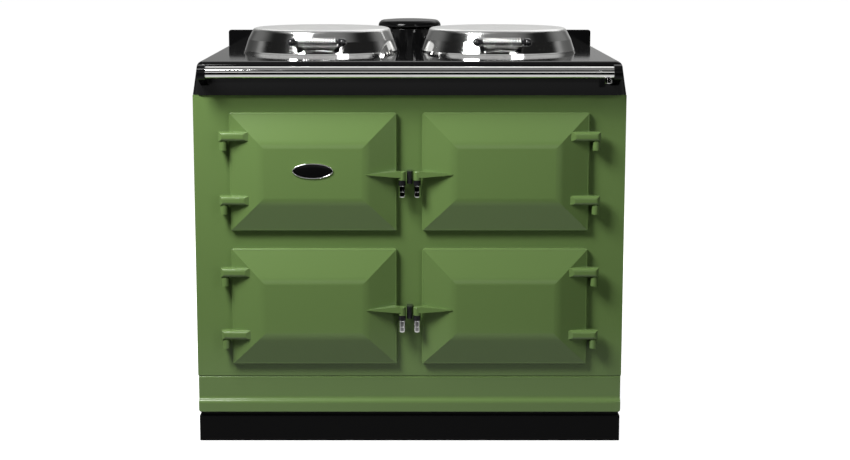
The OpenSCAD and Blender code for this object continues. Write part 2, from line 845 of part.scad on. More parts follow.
// A hinge lug: round about its pin, with a flat-topped bar that runs into the slope
module lug() {
    r = lug_d / 2;
    inner = pin_out + lug_in;
    reach = pin_reach + r;
    edge = 8;
    slope_z = door_gap + lip_t + bevel_rise * (lug_in - lip_r) / (bevel_w - lip_r);
    intersection() {
        rotate([90, 0, 0]) linear_extrude(lug_h, center = true) {
            translate([0, pin_reach]) circle(r = r);
            polygon([[0, pin_reach - r], [0, reach], [inner - 12, reach],
                     [inner, slope_z - 1], [inner, door_gap + 1], [pin_out + 1, door_gap + 1],
                     [pin_out + 1, pin_reach - r]]);
        }
        translate([-r - through, 0, (reach + door_gap) / 2])
            rotate([90, 0, 90]) linear_extrude(inner + r + 2 * through)
                rrect(lug_h, reach - door_gap, edge);
    }
}

// The latch arm: a fin that grows from the panel's edge to a boss past the door's edge
module latch_arm() {
    edge_x = pin_out + door_w;
    start = edge_x - bevel_w - 4;
    front = front_of_door;
    half = arm_h / 2;
    edge = 2;
    intersection() {
        translate([0, -arm_drop, 0]) linear_extrude(front + through)
            polygon([[start, -0.5], [start, 0.5], [edge_x, half], [grip_x, half - 0.5],
                     [grip_x, -half + 0.5], [edge_x, -half]]);
        rotate([90, 0, 0]) linear_extrude(2 * arm_h, center = true)
            polygon([[start - 1, front - 3], [start + 6, front], [grip_x, front - 1],
                     [grip_x, arm_back], [edge_x - 2, arm_back], [edge_x - 2, door_gap + 2],
                     [start - 1, door_gap + 2]]);
    }
    translate([grip_x, arm_top, grip_reach]) rotate([90, 0, 0]) rotate_extrude() {
        square([arm_boss_r - edge, boss_len]);
        translate([0, edge]) square([arm_boss_r, boss_len - 2 * edge]);
        for (h = [edge, boss_len - edge]) translate([arm_boss_r - edge, h]) circle(r = edge);
    }
}

// The cast door with its lugs and latch arm, hollow behind
module door(side, row) color(enamel) at_door(side, row) difference() {
    middle = [pin_out + door_w / 2, 0, door_gap];
    rim_z = lip_t + bevel_rise * (door_rim - lip_r) / (bevel_w - lip_r);
    union() {
        translate(middle) hipped(door_w, door_h, door_corner_r, lip_t, lip_r, bevel_w,
                                 bevel_rise, crease_r);
        for (s = [-1, 1]) translate([0, s * lug_z + lug_up, 0]) lug();
        latch_arm();
    }
    translate(middle - [0, 0, through])
        hipped(door_w - 2 * door_rim, door_h - 2 * door_rim, door_corner_r,
               rim_z - door_wall + through, lip_r, bevel_w - door_rim,
               bevel_rise * (bevel_w - door_rim) / (bevel_w - lip_r));
    translate([middle[0], 0, door_gap - through]) linear_extrude(seal_depth + through)
        difference() {
            seal_outline(seal_out + seal_w + seat / 2);
            seal_outline(seal_out - seat / 2);
        }
    for (s = [-1, 1]) translate([0, s * lug_z + lug_up, pin_reach])
        rotate([90, 0, 0]) translate([0, 0, -lug_h / 2 + lug_cap])
            cylinder(r = pin_d / 2 + run, h = lug_h);
    translate([grip_x, grip_top - through, grip_reach]) rotate([-90, 0, 0])
        cylinder(r = stem_r + seat, h = stem_h + seat + through);
}

// Outline of the mouth, grown by a distance
module seal_outline(grow) rrect(mouth_w + 2 * grow, mouth_h + 2 * grow, mouth_r + grow);

// The insulated pan behind a door, which fills the mouth
module door_liner(side, row) color("gainsboro") at_door(side, row)
    translate([pin_out + door_w / 2, 0, 0]) difference() {
        translate([0, 0, -plug_d]) linear_extrude(plug_d + door_gap)
            rrect(plug_w, plug_h, mouth_r);
        translate([0, 0, -plug_d + plug_wall]) linear_extrude(plug_d + door_gap)
            rrect(plug_w - 2 * plug_wall, plug_h - 2 * plug_wall, mouth_r - plug_wall);
    }

module door_seal(side, row) color("dimgray") at_door(side, row)
    translate([pin_out + door_w / 2, 0, seat]) linear_extrude(door_gap + seal_depth - seat)
        difference() {
            seal_outline(seal_out + seal_w);
            seal_outline(seal_out);
        }

// The hanging grip: black collar, barrel with a groove, and a stem in the latch arm
module door_grip(side, row) color(polished) at_door(side, row)
    translate([grip_x, grip_top, grip_reach]) rotate([90, 0, 0])
        rotate_extrude() {
            r = grip_d / 2;
            groove = 1.6;
            tip_r = 3.4;
            end = collar_h + grip_len;
            mid = collar_h + grip_len / 2;
            square([r + 0.4, collar_h]);
            translate([0, collar_h]) square([r - 1, 2 * groove]);
            translate([0, collar_h + groove]) square([r, mid - collar_h - 1.5 * groove]);
            translate([0, mid - groove]) square([r - 1, 2 * groove]);
            translate([0, mid + groove / 2]) square([r, end - tip_r - mid - groove / 2]);
            translate([0, end - tip_r - eps]) square([r - tip_r, tip_r + eps]);
            translate([r - tip_r, end - tip_r]) circle(r = tip_r);
            translate([0, -stem_h]) square([stem_r, stem_h + eps]);
        }

// Bosses on the front plate that carry the hinge pins
module hinge_pintles() color(enamel)
    for (side = [LEFT, RIGHT], row = [LOWER, UPPER], s = [-1, 1])
        at_door(side, row) translate([0, s * lug_z + lug_up - lug_h / 2 - seat, 0]) {
            rotate([90, 0, 0]) linear_extrude(boss_h + shoulder_h)
                translate([0, pin_reach]) circle(r = shoulder_r);
            translate([0, -shoulder_h, 0]) rotate([90, 0, 0]) linear_extrude(boss_h) {
                translate([0, pin_reach]) circle(r = boss_r);
                translate([-boss_r + 2, 0]) square([2 * (boss_r - 2), pin_reach]);
            }
            translate([0, -boss_h, pin_reach]) rotate([-90, 0, 0])
                cylinder(r = pin_d / 2, h = boss_h + lug_h - lug_cap - 1);
        }

// The black keeper between two latch arms
module door_catches() color(black) for (row = [LOWER, UPPER])
    translate([0, 0, row_z[row] + arm_top - catch_h / 2])
        intersection() {
            across(-catch_w / 2, catch_w) translate([face_y - grip_reach / 2, 0])
                rrect(grip_reach, catch_h, 3);
            linear_extrude(2 * catch_h, center = true) {
                translate([0, face_y - grip_reach + catch_w / 2]) circle(r = catch_w / 2);
                translate([-catch_w / 2, face_y - grip_reach + catch_w / 2])
                    square([catch_w, grip_reach]);
            }
        }

/* Rail */

rail_y = lip_y - rail_reach;
rail_z = top_z - rail_drop;
socket_d = 12;

module handrail() color(polished) translate([0, rail_y, rail_z]) difference() {
    len = rail_len + 2 * (socket_d - seat);
    rod_x(rail_d / 2, len);
    rod_x(rail_d / 2 - rail_wall, len + 2 * through);
}

// Each bracket has a boss round the rail's end and a foot that follows the flared skirt
module rail_brackets() color(black) both() difference() {
    boss = rail_boss_r;
    foot_low = 22;
    foot_high = 58;
    centre = [lip_y + flat_in, top_z - edge_r];
    flare = touch([lip_y, skirt_z], centre, edge_r);
    slope = (flare[0] - lip_y) / (flare[1] - skirt_z);
    low = [lip_y + slope * foot_low - seat, skirt_z + foot_low];
    high = [lip_y + slope * foot_high - seat, skirt_z + foot_high];
    across(rail_len / 2, bracket_w) {
        translate([rail_y, rail_z]) circle(r = boss);
        polygon([low, high, [rail_y, rail_z + boss * 0.6], [rail_y - boss * 0.3, rail_z],
                 [rail_y + boss * 0.2, rail_z - boss * 0.9]]);
    }
    translate([rail_len / 2 + socket_d / 2 - through / 2, rail_y, rail_z])
        rod_x(rail_d / 2 + seat, socket_d + through);
}

/* Lids: a low rim, a side with a break half way up, a round shoulder and a low crown */

lid_round_r = 12;
shoulder_x = lid_r - 30.5;
shoulder_z = lid_h - 14;
side_break = 8.5;
crown_over = 0.6;
rim_h = 3;

module lid_form(inset) rotate_extrude() {
    r = lid_round_r - inset;
    side = [lid_r - side_break - inset, lid_h * 0.5];
    hit = touch([-side[0], side[1]], [-shoulder_x, shoulder_z], r - sunk);
    polygon([[0, 0], [lid_r - inset, 0], [lid_r - inset, rim_h], side, [-hit[0], hit[1]],
             [shoulder_x, shoulder_z + r / 2], [0, shoulder_z + r / 2]]);
    domed(shoulder_x, shoulder_z, r, lid_h + crown_over - inset);
}

module at_lid(side) translate([side * plate_x, plate_y, lid_foot_z + seat]) children();

module lid(side) color(polished) at_lid(side) difference() {
    lid_form(0);
    translate([0, 0, -eps]) lid_form(lid_wall);
}

liner_z = 10;
liner_t = 8;
liner_fall = 2.2; // how far the crown has fallen at the edge of the liner's raised middle

// The insulated inner face of a lid
module lid_liner(side) color("silver") at_lid(side) {
    r = lid_r - side_break - lid_wall - seat - 1;
    crown_r = shoulder_x - 15;
    crown_z = lid_h + crown_over - liner_fall - lid_wall - seat;
    rotate_extrude() {
        translate([0, liner_z]) square([r, liner_t]);
        translate([0, liner_z]) square([crown_r, crown_z - liner_z]);
    }
}

// The hinge arm, shaped to the lid's side, and its knuckle
module lid_hinge(side) color(polished) difference() {
    arm_t = 14;
    translate([side * plate_x, lid_pin_y, top_z + lid_pin_z]) {
        rod_x(knuckle_r, knuckle_w);
        translate([-knuckle_w / 2, -lid_pin_out - 14, -arm_t / 2])
            cube([knuckle_w, lid_pin_out + 14, arm_t]);
    }
    translate([side * plate_x, lid_pin_y, top_z + lid_pin_z])
        rod_x(lid_pin_d / 2 + run, knuckle_w + 2 * through);
    at_lid(side) lid_form(-seat);
}

module lid_hinge_brackets() color(black) for (side = [LEFT, RIGHT])
    translate([side * plate_x, lid_pin_y, top_z]) {
        foot_t = 5;
        foot_d = 30;
        cheek_x = knuckle_w / 2 + cheek_gap;
        half = cheek_x + cheek_t;
        translate([-half - 8, -foot_d / 2 + 6, 0]) cube([2 * half + 16, foot_d, foot_t]);
        for (s = [-1, 1]) translate([s * (cheek_x + cheek_t / 2), 0, 0]) {
            translate([0, 0, lid_pin_z]) rod_x(knuckle_r, cheek_t);
            translate([-cheek_t / 2, -knuckle_r, 0]) cube([cheek_t, 2 * knuckle_r, lid_pin_z]);
        }
        translate([0, 0, lid_pin_z]) rod_x(lid_pin_d / 2, 2 * half);
    }

module at_handle(side)
    translate([side * plate_x, handle_y, lid_foot_z + seat + handle_z]) children();

// The core bar, its end balls and the posts that carry it on the lid's side
module lid_handle(side) color(black) difference() {
    end_x = coil_len / 2 + seat;
    at_handle(side) {
        rod_x(core_r, 2 * end_x + 2);
        for (s = [-1, 1]) translate([s * end_x, 0, 0]) {
            rotate([0, s * 90, 0]) cylinder(r = coil_d / 2 - 0.5, h = 3);
            translate([s * (3 + ball_r * 0.7), 0, 0]) sphere(r = ball_r);
            translate([s * (3 + ball_r * 0.7), 25, 0]) rod_y(post_r, 50);
        }
    }
    at_lid(side) lid_form(-seat);
}

// The winding's middle line, unrolled as [along the bar, round the bar]: a straight end,
// a bend into the helix, the turns, and the same again
function unrolled(x0, s0, dir) =
    [for (t = [0:3]) [x0 + dir * coil_bend * sin(t * 27), s0 + dir * coil_bend * (1 - cos(t * 27))]];

curl = 2 * PI * coil_r;
rings = 8;
end_x = coil_len / 2;
bend_s = coil_bend * (1 - cos(81));
bend_x = coil_bend * sin(81);
helix_x = coil_len / 2 - wire_d - bend_x;
helix_half = coil_turns * curl / 2;
coil_line = concat(
    [[-end_x, -helix_half - bend_s]],
    unrolled(-end_x + wire_d, -helix_half - bend_s, 1),
    [for (i = [1:coil_turns * rings - 1])
        [-helix_x + 2 * helix_x * i / (coil_turns * rings),
         -helix_half + 2 * helix_half * i / (coil_turns * rings)]],
    [for (p = [3:-1:0]) unrolled(end_x - wire_d, helix_half + bend_s, -1)[p]],
    [[end_x, helix_half + bend_s]]);

function wrap(p) = [p[0], coil_r * cos(p[1] / coil_r * 180 / PI),
                    coil_r * sin(p[1] / coil_r * 180 / PI)];
coil_points = [for (p = coil_line) wrap(p)];
coil_count = len(coil_points);
function unit(v) = v / norm(v);
function heading(i) = unit(i == 0 || i == coil_count - 1 ? [1, 0, 0]
                           : coil_points[i + 1] - coil_points[i - 1]);
function outward(i) = let (p = coil_points[i], o = unit([0, p[1], p[2]]), t = heading(i))
    unit(o - (o * t) * t);
wire_sides = 6;
coil_gap = min([for (i = [0:coil_count - 1], j = [i + rings - 2:1:coil_count - 1])
                if (j < coil_count) norm(coil_points[i] - coil_points[j])]) - wire_d;
echo(coil_gap = coil_gap);

module coil() {
    ring_points = [for (i = [0:coil_count - 1])
        let (o = outward(i), b = cross(heading(i), o))
        for (k = [0:wire_sides - 1])
            coil_points[i] + wire_d / 2 * (cos(k * 360 / wire_sides) * o
                                           + sin(k * 360 / wire_sides) * b)];
    last = (coil_count - 1) * wire_sides;
    sides = [for (i = [0:coil_count - 2], k = [0:wire_sides - 1], half = [0, 1])
        let (a = i * wire_sides + k, b = i * wire_sides + (k + 1) % wire_sides)
        half == 0 ? [a, a + wire_sides, b] : [b, a + wire_sides, b + wire_sides]];
    caps = [for (k = [1:wire_sides - 2], end = [0, 1])
        end == 0 ? [0, k, k + 1] : [last, last + k + 1, last + k]];
    polyhedron(points = ring_points, faces = concat(sides, caps));
}

module lid_coil(side) color(polished) at_handle(side) coil();

/* Supply */

module terminal_cover() color("silver") {
    y0 = sheet_y + sheet_t;
    difference() {
        box([-cover_w / 2, y0, cover_z], [cover_w / 2, y0 + cover_d, cover_z + cover_h]);
        box([-cover_w / 2 + cover_wall, y0 - through, cover_z + cover_wall],
            [cover_w / 2 - cover_wall, y0 + cover_d - cover_wall,
             cover_z + cover_h - cover_wall]);
        translate([0, y0 + cover_d / 2, cover_z - through])
            cylinder(r = gland_d / 2 + 2 + seat, h = cover_wall + 2 * through);
    }
}

module cable_gland() color("dimgray")
    translate([0, sheet_y + sheet_t + cover_d / 2, cover_z]) difference() {
        union() {
            translate([0, 0, -gland_len + cover_wall + 6])
                cylinder(r = gland_d / 2 + 2, h = gland_len);
            translate([0, 0, -seat - 10]) cylinder(r = min(gland_nut_r, cover_d / 2 - seat), h = 10);
        }
        translate([0, 0, -gland_len]) cylinder(r = gland_d / 2, h = 2 * gland_len);
    }

plinth();
base_plate();
base_panel();
front_plate();
side_panels();
back_panel();
top_plate();
upstand();
flue_outlet();
flue_cap();
flue_duct();
hotplates();
hotplate_rings();
element_pans();
hotplate_elements();
roasting_oven();
simmering_oven();
baking_oven();
oven_shelves();
oven_elements();
control_box();
control_panel();
insulation();
handrail();
rail_brackets();
hinge_pintles();
door_catches();
lid_hinge_brackets();
terminal_cover();
cable_gland();
door(LEFT, UPPER);  // control_door
door_liner(LEFT, UPPER);  // control_door_liner
door_seal(LEFT, UPPER);  // control_door_seal
door_grip(LEFT, UPPER);  // control_door_grip
door(RIGHT, UPPER);  // roasting_door
door_liner(RIGHT, UPPER);  // roasting_door_liner
door_seal(RIGHT, UPPER);  // roasting_door_seal
door_grip(RIGHT, UPPER);  // roasting_door_grip
door(LEFT, LOWER);  // baking_door
door_liner(LEFT, LOWER);  // baking_door_liner
door_seal(LEFT, LOWER);  // baking_door_seal
door_grip(LEFT, LOWER);  // baking_door_grip
door(RIGHT, LOWER);  // simmering_door
door_liner(RIGHT, LOWER);  // simmering_door_liner
door_seal(RIGHT, LOWER);  // simmering_door_seal
door_grip(RIGHT, LOWER);  // simmering_door_grip
lid(LEFT);  // left_lid
lid_liner(LEFT);  // left_lid_liner
lid_hinge(LEFT);  // left_lid_hinge
lid_handle(LEFT);  // left_lid_handle
lid_coil(LEFT);  // left_lid_coil
lid(RIGHT);  // right_lid
lid_liner(RIGHT);  // right_lid_liner
lid_hinge(RIGHT);  // right_lid_hinge
lid_handle(RIGHT);  // right_lid_handle
lid_coil(RIGHT);  // right_lid_coil
knob(0);  // roasting_knob
knob(1);  // simmering_knob
knob(2);  // baking_knob
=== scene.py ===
"""Dressed scene of a four-door, two-lid cast iron range cooker.

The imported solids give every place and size. This script gives them their finishes, models the
wound, woven and printed pieces and the small fixings, and sets the studio and the camera.
All lengths in the classes are in millimetres unless a name says otherwise; Blender works in metres.
"""

import logging
import math
from dataclasses import dataclass
from enum import Enum
from typing import Any, Callable, Iterable, Sequence

import bmesh
import bpy
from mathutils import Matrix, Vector


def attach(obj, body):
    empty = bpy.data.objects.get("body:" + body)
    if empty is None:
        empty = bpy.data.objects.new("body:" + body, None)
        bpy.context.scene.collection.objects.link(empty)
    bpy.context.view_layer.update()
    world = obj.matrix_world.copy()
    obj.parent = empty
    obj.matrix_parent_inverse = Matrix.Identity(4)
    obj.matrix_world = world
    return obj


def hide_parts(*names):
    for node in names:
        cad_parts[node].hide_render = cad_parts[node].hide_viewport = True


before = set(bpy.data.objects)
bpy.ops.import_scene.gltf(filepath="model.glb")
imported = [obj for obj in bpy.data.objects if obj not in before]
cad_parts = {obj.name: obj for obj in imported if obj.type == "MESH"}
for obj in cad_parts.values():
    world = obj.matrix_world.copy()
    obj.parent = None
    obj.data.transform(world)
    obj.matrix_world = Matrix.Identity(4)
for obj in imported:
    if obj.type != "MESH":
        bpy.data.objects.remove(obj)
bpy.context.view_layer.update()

log = logging.getLogger("range_cooker")
MM = 0.001
Colour = tuple[float, float, float]
Value = Any
LOWER_ROW, UPPER_ROW = 322.25, 634.75
PLATE_X, PLATE_Y = 216.5, 35.5
COLUMN_X = 218.5


class Side(Enum):
    """Which side of the cooker a piece is on, seen from the front."""

    LEFT = -1
    RIGHT = 1


class Slot(Enum):
    """The material slots that the finishes belong to."""

    GREEN = "green_enamel"
    BLACK = "black_enamel"
    POLISHED = "polished_steel"
    CAST = "cast_iron"
    SHEET = "sheet_steel"
    TRIM = "black_trim"
    ROPE = "rope_seal"
    WOOL = "insulation"


class Facing(Enum):
    """The way a small fixing faces, as a turn about X of one that faces up."""

    UP = 0.0
    FRONT = math.pi / 2
    BACK = -math.pi / 2


TO_FRONT = (Facing.FRONT.value, 0.0, 0.0)


def toned(colour: Colour, factor: float, lift: float = 0.0) -> Colour:
    """Scale a colour's three parts and lift them alike."""
    return tuple(c * factor + lift for c in colour)


# Shader arithmetic


class Signal:
    """A number that runs through a node tree, with Python's arithmetic."""

    def __init__(self, recipe: "Recipe", socket: bpy.types.NodeSocket) -> None:
        """Wrap a socket.

        Args:
            recipe: The tree that the socket belongs to.
            socket: The output socket that carries the number.
        """
        self.recipe = recipe
        self.socket = socket

    def __add__(self, other: Value) -> "Signal":
        """Sum."""
        return self.recipe.maths("ADD", self, other)

    def __radd__(self, other: Value) -> "Signal":
        """Sum, number first."""
        return self.recipe.maths("ADD", other, self)

    def __sub__(self, other: Value) -> "Signal":
        """Difference."""
        return self.recipe.maths("SUBTRACT", self, other)

    def __rsub__(self, other: Value) -> "Signal":
        """Difference, number first."""
        return self.recipe.maths("SUBTRACT", other, self)

    def __mul__(self, other: Value) -> "Signal":
        """Product."""
        return self.recipe.maths("MULTIPLY", self, other)

    def __rmul__(self, other: Value) -> "Signal":
        """Product, number first."""
        return self.recipe.maths("MULTIPLY", other, self)

    def __abs__(self) -> "Signal":
        """Size without its sign."""
        return self.recipe.maths("ABSOLUTE", self)

    def wave(self) -> "Signal":
        """Sine of the number."""
        return self.recipe.maths("SINE", self)

    def root(self) -> "Signal":
        """Square root."""
        return self.recipe.maths("SQRT", self)

    def most(self, other: Value) -> "Signal":
        """The larger of two numbers."""
        return self.recipe.maths("MAXIMUM", self, other)

    def rise(self, low: float, high: float) -> "Signal":
        """Go smoothly from 0 to 1 while the number goes from one level to another.

        Args:
            low: Level at and below which the answer is 0.
            high: Level at and above which the answer is 1.

        Returns:
            The answer as a number from 0 to 1.
        """
        node = self.recipe.node(
            "ShaderNodeMapRange",
            {"interpolation_type": "SMOOTHSTEP"},
            {"Value": self, "From Min": low, "From Max": high},
        )
        return Signal(self.recipe, node.outputs[0])


class Recipe:
    """One node tree, built from expressions."""

    def __init__(self, tree: bpy.types.NodeTree) -> None:
        """Empty a tree and take it over.

        Args:
            tree: The node tree of a material or a world.
        """
        self.tree = tree
        tree.nodes.clear()

    def node(self, kind: str, settings: dict[str, Any] | None = None,
             values: dict[str | int, Value] | None = None) -> bpy.types.Node:
        """Add a node of any kind.

        Args:
            kind: The node's type.
            settings: Its settings, set before its sockets; "stops" gives a ramp's places and colours.
            values: The value or link of each input, by the input's name or number.

        Returns:
            The new node.
        """
        node = self.tree.nodes.new(kind)
        for key, setting in (settings or {}).items():
            if key == "stops":
                ramp = node.color_ramp
                while len(ramp.elements) < len(setting):
                    ramp.elements.new(0.5)
                for element, (place, colour) in zip(ramp.elements, setting):
                    element.position = place
                    element.color = (*colour, 1.0)
            else:
                setattr(node, key, setting)
        for key, value in (values or {}).items():
            socket = node.inputs[key] if isinstance(key, int) else next(
                s for s in node.inputs if s.name == key and s.enabled)
            self.feed(socket, value)
        return node

    def feed(self, socket: bpy.types.NodeSocket, value: Value) -> None:
        """Link or set one input.

        Args:
            socket: The input.
            value: A signal, an output socket, a number, a vector or a colour.
        """
        if isinstance(value, Signal):
            self.tree.links.new(value.socket, socket)
        elif isinstance(value, bpy.types.NodeSocket):
            self.tree.links.new(value, socket)
        elif isinstance(value, (tuple, list)) and socket.type == "RGBA":
            socket.default_value = (*value[:3], 1.0)
        else:
            socket.default_value = value

    def maths(self, operation: str, *values: Value) -> Signal:
        """Add one Math node.

        Args:
            operation: The node's operation.
            values: Its inputs in order.

        Returns:
            The result.
        """
        node = self.node("ShaderNodeMath", {"operation": operation}, dict(enumerate(values)))
        return Signal(self, node.outputs[0])

    def place(self) -> bpy.types.NodeSocket:
        """Give the point's place in the cooker's frame, in metres."""
        return self.node("ShaderNodeTexCoord").outputs["Object"]

    def along(self, vector: bpy.types.NodeSocket) -> tuple[Signal, Signal, Signal]:
        """Split a vector into its three numbers."""
        node = self.node("ShaderNodeSeparateXYZ", {}, {0: vector})
        return tuple(Signal(self, out) for out in node.outputs)

    def joined(self, *parts: Value) -> bpy.types.NodeSocket:
        """Join up to three numbers into a vector."""
        return self.node("ShaderNodeCombineXYZ", {}, dict(enumerate(parts))).outputs[0]

    def radius(self, x: Signal, y: Signal) -> Signal:
        """Give how far a point lies from the upright axis that x and y are measured from."""
        return (x * x + y * y).root()

    def noise(self, scale: float, detail: float = 2.0, rough: float = 0.5,
              vector: bpy.types.NodeSocket | None = None) -> Signal:
        """Give soft random clouds.

        Args:
            scale: Clouds to the metre.
            detail: Octaves of finer clouds.
            rough: Strength of each finer octave.
            vector: Where to read them; the point's place when left out.

        Returns:
            A number from 0 to 1, mostly near 0.5.
        """
        node = self.node("ShaderNodeTexNoise", {}, {
            "Vector": vector or self.place(), "Scale": scale, "Detail": detail, "Roughness": rough})
        return Signal(self, node.outputs[0])

    def grained(self, stretch: Sequence[float], detail: float = 2.0, rough: float = 0.6,
                scale: float = 1.0) -> Signal:
        """Give clouds that are drawn out into a grain.

        Args:
            stretch: How much finer the clouds are along each axis.
            detail: Octaves of finer clouds.
            rough: Strength of each finer octave.
            scale: Clouds to the metre where the stretch is 1.

        Returns:
            A number from 0 to 1, mostly near 0.5.
        """
        node = self.node("ShaderNodeVectorMath", {"operation": "MULTIPLY"}, {0: self.place(), 1: tuple(stretch)})
        return self.noise(scale, detail, rough, node.outputs[0])

    def cells(self, scale: float, vector: bpy.types.NodeSocket | None = None) -> bpy.types.Node:
        """Give Voronoi cells.

        Args:
            scale: Cells to the metre.
            vector: Where to read them; the point's place when left out.

        Returns:
            The texture node, with its Distance and Color outputs.
        """
        return self.node("ShaderNodeTexVoronoi", {"feature": "F1"},
                         {"Vector": vector or self.place(), "Scale": scale})

    def mixed(self, share: Value, first: Value, second: Value) -> bpy.types.NodeSocket:
        """Mix two colours.

        Args:
            share: How much of the second colour there is.
            first: Colour where the share is 0.
            second: Colour where it is 1.

        Returns:
            The colour.
        """
        node = self.node("ShaderNodeMix", {"data_type": "RGBA"}, {"Factor": share, "A": first, "B": second})
        return next(s for s in node.outputs if s.enabled)

    def relief(self, height: Signal, depth_mm: float,
               under: bpy.types.NodeSocket | None = None) -> bpy.types.NodeSocket:
        """Turn a height into a bump.

        Args:
            height: The height, from 0 to 1.
            depth_mm: How far 0 lies under 1.
            under: The normal of a coarser relief below this one.

        Returns:
            The normal.
        """
        values: dict[str | int, Value] = {"Height": height, "Distance": depth_mm * MM, "Strength": 1.0}
        if under is not None:
            values["Normal"] = under
        return self.node("ShaderNodeBump", {}, values).outputs[0]

    def surface(self, **values: Value) -> bpy.types.Node:
        """End the tree in one Principled shader; an underscore stands for a space in a socket's name."""
        inputs = {name.replace("_", " "): value for name, value in values.items()}
        shader = self.node("ShaderNodeBsdfPrincipled", {}, inputs)
        self.node("ShaderNodeOutputMaterial", {}, {"Surface": shader.outputs[0]})
        return shader


# Finishes


@dataclass(frozen=True)
class Finish:
    """What every finish has."""

    label: str
    slot: Slot

    def material(self) -> bpy.types.Material:
        """Give the finish's material, made on its first use."""
        made = bpy.data.materials.get(self.label)
        if made is None:
            made = bpy.data.materials.new(self.label)
            made.use_nodes = True
            self.lay(Recipe(made.node_tree))
        return made

    def lay(self, recipe: Recipe) -> None:
        """Build the finish's nodes; each kind of finish has its own."""
        raise NotImplementedError

    def on(self, *nodes: str) -> None:
        """Put the finish on solids of the frame."""
        for name in nodes:
            cover(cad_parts[name], self)
            log.info("finish %s on %s", self.label, name)


@dataclass(frozen=True)
class VitreousEnamel(Finish):
    """Fired glass enamel on cast iron: glossy, gently clouded, with a faint orange-peel skin."""

    colour: Colour = (0.119, 0.195, 0.058)
    cloud: float = 0.05
    rough: float = 0.26
    coat: float = 0.35
    coat_rough: float = 0.05
    specular: float = 0.2
    peel_mm: float = 0.006
    wave_mm: float = 0.1

    def lay(self, recipe: Recipe) -> None:
        """Cloud the glaze, speck it finely and ripple it."""
        clouds = recipe.noise(4.0, 3.0, 0.55)
        specks = recipe.noise(900.0, 1.0)
        shade = (clouds - 0.5) * (2.0 * self.cloud) + (specks - 0.5) * (0.3 * self.cloud) + 0.5
        deep, pale = toned(self.colour, 1.0 - self.cloud), toned(self.colour, 1.0 + self.cloud, 0.002)
        colour = recipe.mixed(shade, deep, pale)
        smears = recipe.noise(22.0, 3.0, 0.6)
        wave = recipe.relief(recipe.noise(9.0, 1.0, 0.4), self.wave_mm)
        peel = recipe.relief(recipe.noise(150.0, 1.0, 0.4), self.peel_mm, wave)
        recipe.surface(Base_Color=colour, Roughness=self.rough + (smears - 0.5) * 0.03, Metallic=0.0,
                       Specular_IOR_Level=self.specular, Coat_Weight=self.coat,
                       Coat_Roughness=self.coat_rough, Normal=peel)


@dataclass(frozen=True)
class BrightSteel(Finish):
    """Polished bar or wire with a fine grain along one axis and faint finger smears."""

    colour: Colour = (0.83, 0.83, 0.82)
    rough: float = 0.07
    smear: float = 0.07
    grain: tuple[float, float, float] = (6.0, 900.0, 900.0)

    def lay(self, recipe: Recipe) -> None:
        """Draw the polishing grain and the smears."""
        lines = recipe.grained(self.grain)
        smears = recipe.noise(35.0, 3.0, 0.65).rise(0.42, 0.75)
        recipe.surface(Base_Color=recipe.mixed(smears * 0.6, self.colour, toned(self.colour, 0.9)), Metallic=1.0,
                       Roughness=self.rough + smears * self.smear + (lines - 0.5) * 0.05,
                       Normal=recipe.relief(lines, 0.004))


@dataclass(frozen=True)
class BarrelSteel(BrightSteel):
    """The hanging grips: a bright barrel under a glossy black collar."""

    rows: tuple[float, float] = (LOWER_ROW, UPPER_ROW)
    collar_top: float = -16.0
    collar_foot: float = -27.5
    collar: Colour = (0.012, 0.012, 0.013)

    @staticmethod
    def edge(height: float) -> tuple[float, float]:
        """Give both sides of a sharp change at one height, in metres."""
        return (height - 0.1) * MM, (height + 0.1) * MM

    def lay(self, recipe: Recipe) -> None:
        """Blacken the collar of each row by its height, and leave the barrel bright."""
        height = recipe.along(recipe.place())[2]
        lower, upper = (height.rise(*self.edge(row + self.collar_foot))
                        * (1.0 - height.rise(*self.edge(row + self.collar_top))) for row in self.rows)
        black = lower + upper
        smears = recipe.noise(120.0, 2.0).rise(0.4, 0.7)
        lines = recipe.grained((60.0, 60.0, 1500.0))
        recipe.surface(Base_Color=recipe.mixed(black, self.colour, self.collar), Metallic=1.0 - black,
                       Roughness=self.rough + smears * self.smear + black * 0.08,
                       Normal=recipe.relief(lines, 0.004))


@dataclass(frozen=True)
class SpunSteel(Finish):
    """A spun lid: satin crown with rings round its centre, and a bright rolled side."""

    centre: tuple[float, float] = (0.0, 0.0)
    crown_low: float = 934.0
    crown_high: float = 944.0
    colour: Colour = (0.80, 0.80, 0.79)
    satin: float = 0.3
    bright: float = 0.07
    rings_per_m: float = 1400.0

    def lay(self, recipe: Recipe) -> None:
        """Ring the metal round its centre and take it from satin to bright down the side."""
        x, y, height = recipe.along(recipe.place())
        radius = recipe.radius(x - self.centre[0] * MM, y - self.centre[1] * MM)
        rings = recipe.noise(1.0, 2.0, 0.6, recipe.joined(radius * self.rings_per_m, height * self.rings_per_m))
        crown = height.rise(self.crown_low * MM, self.crown_high * MM)
        smears = recipe.noise(18.0, 4.0, 0.6).rise(0.4, 0.75)
        tint = smears * 0.5 + (rings - 0.5) * 0.3
        sheen = self.bright + crown * (self.satin - self.bright) + smears * 0.05 + (rings - 0.5) * 0.06
        recipe.surface(Base_Color=recipe.mixed(tint, self.colour, toned(self.colour, 0.88)), Metallic=1.0,
                       Roughness=sheen, Normal=recipe.relief(rings, 0.006))


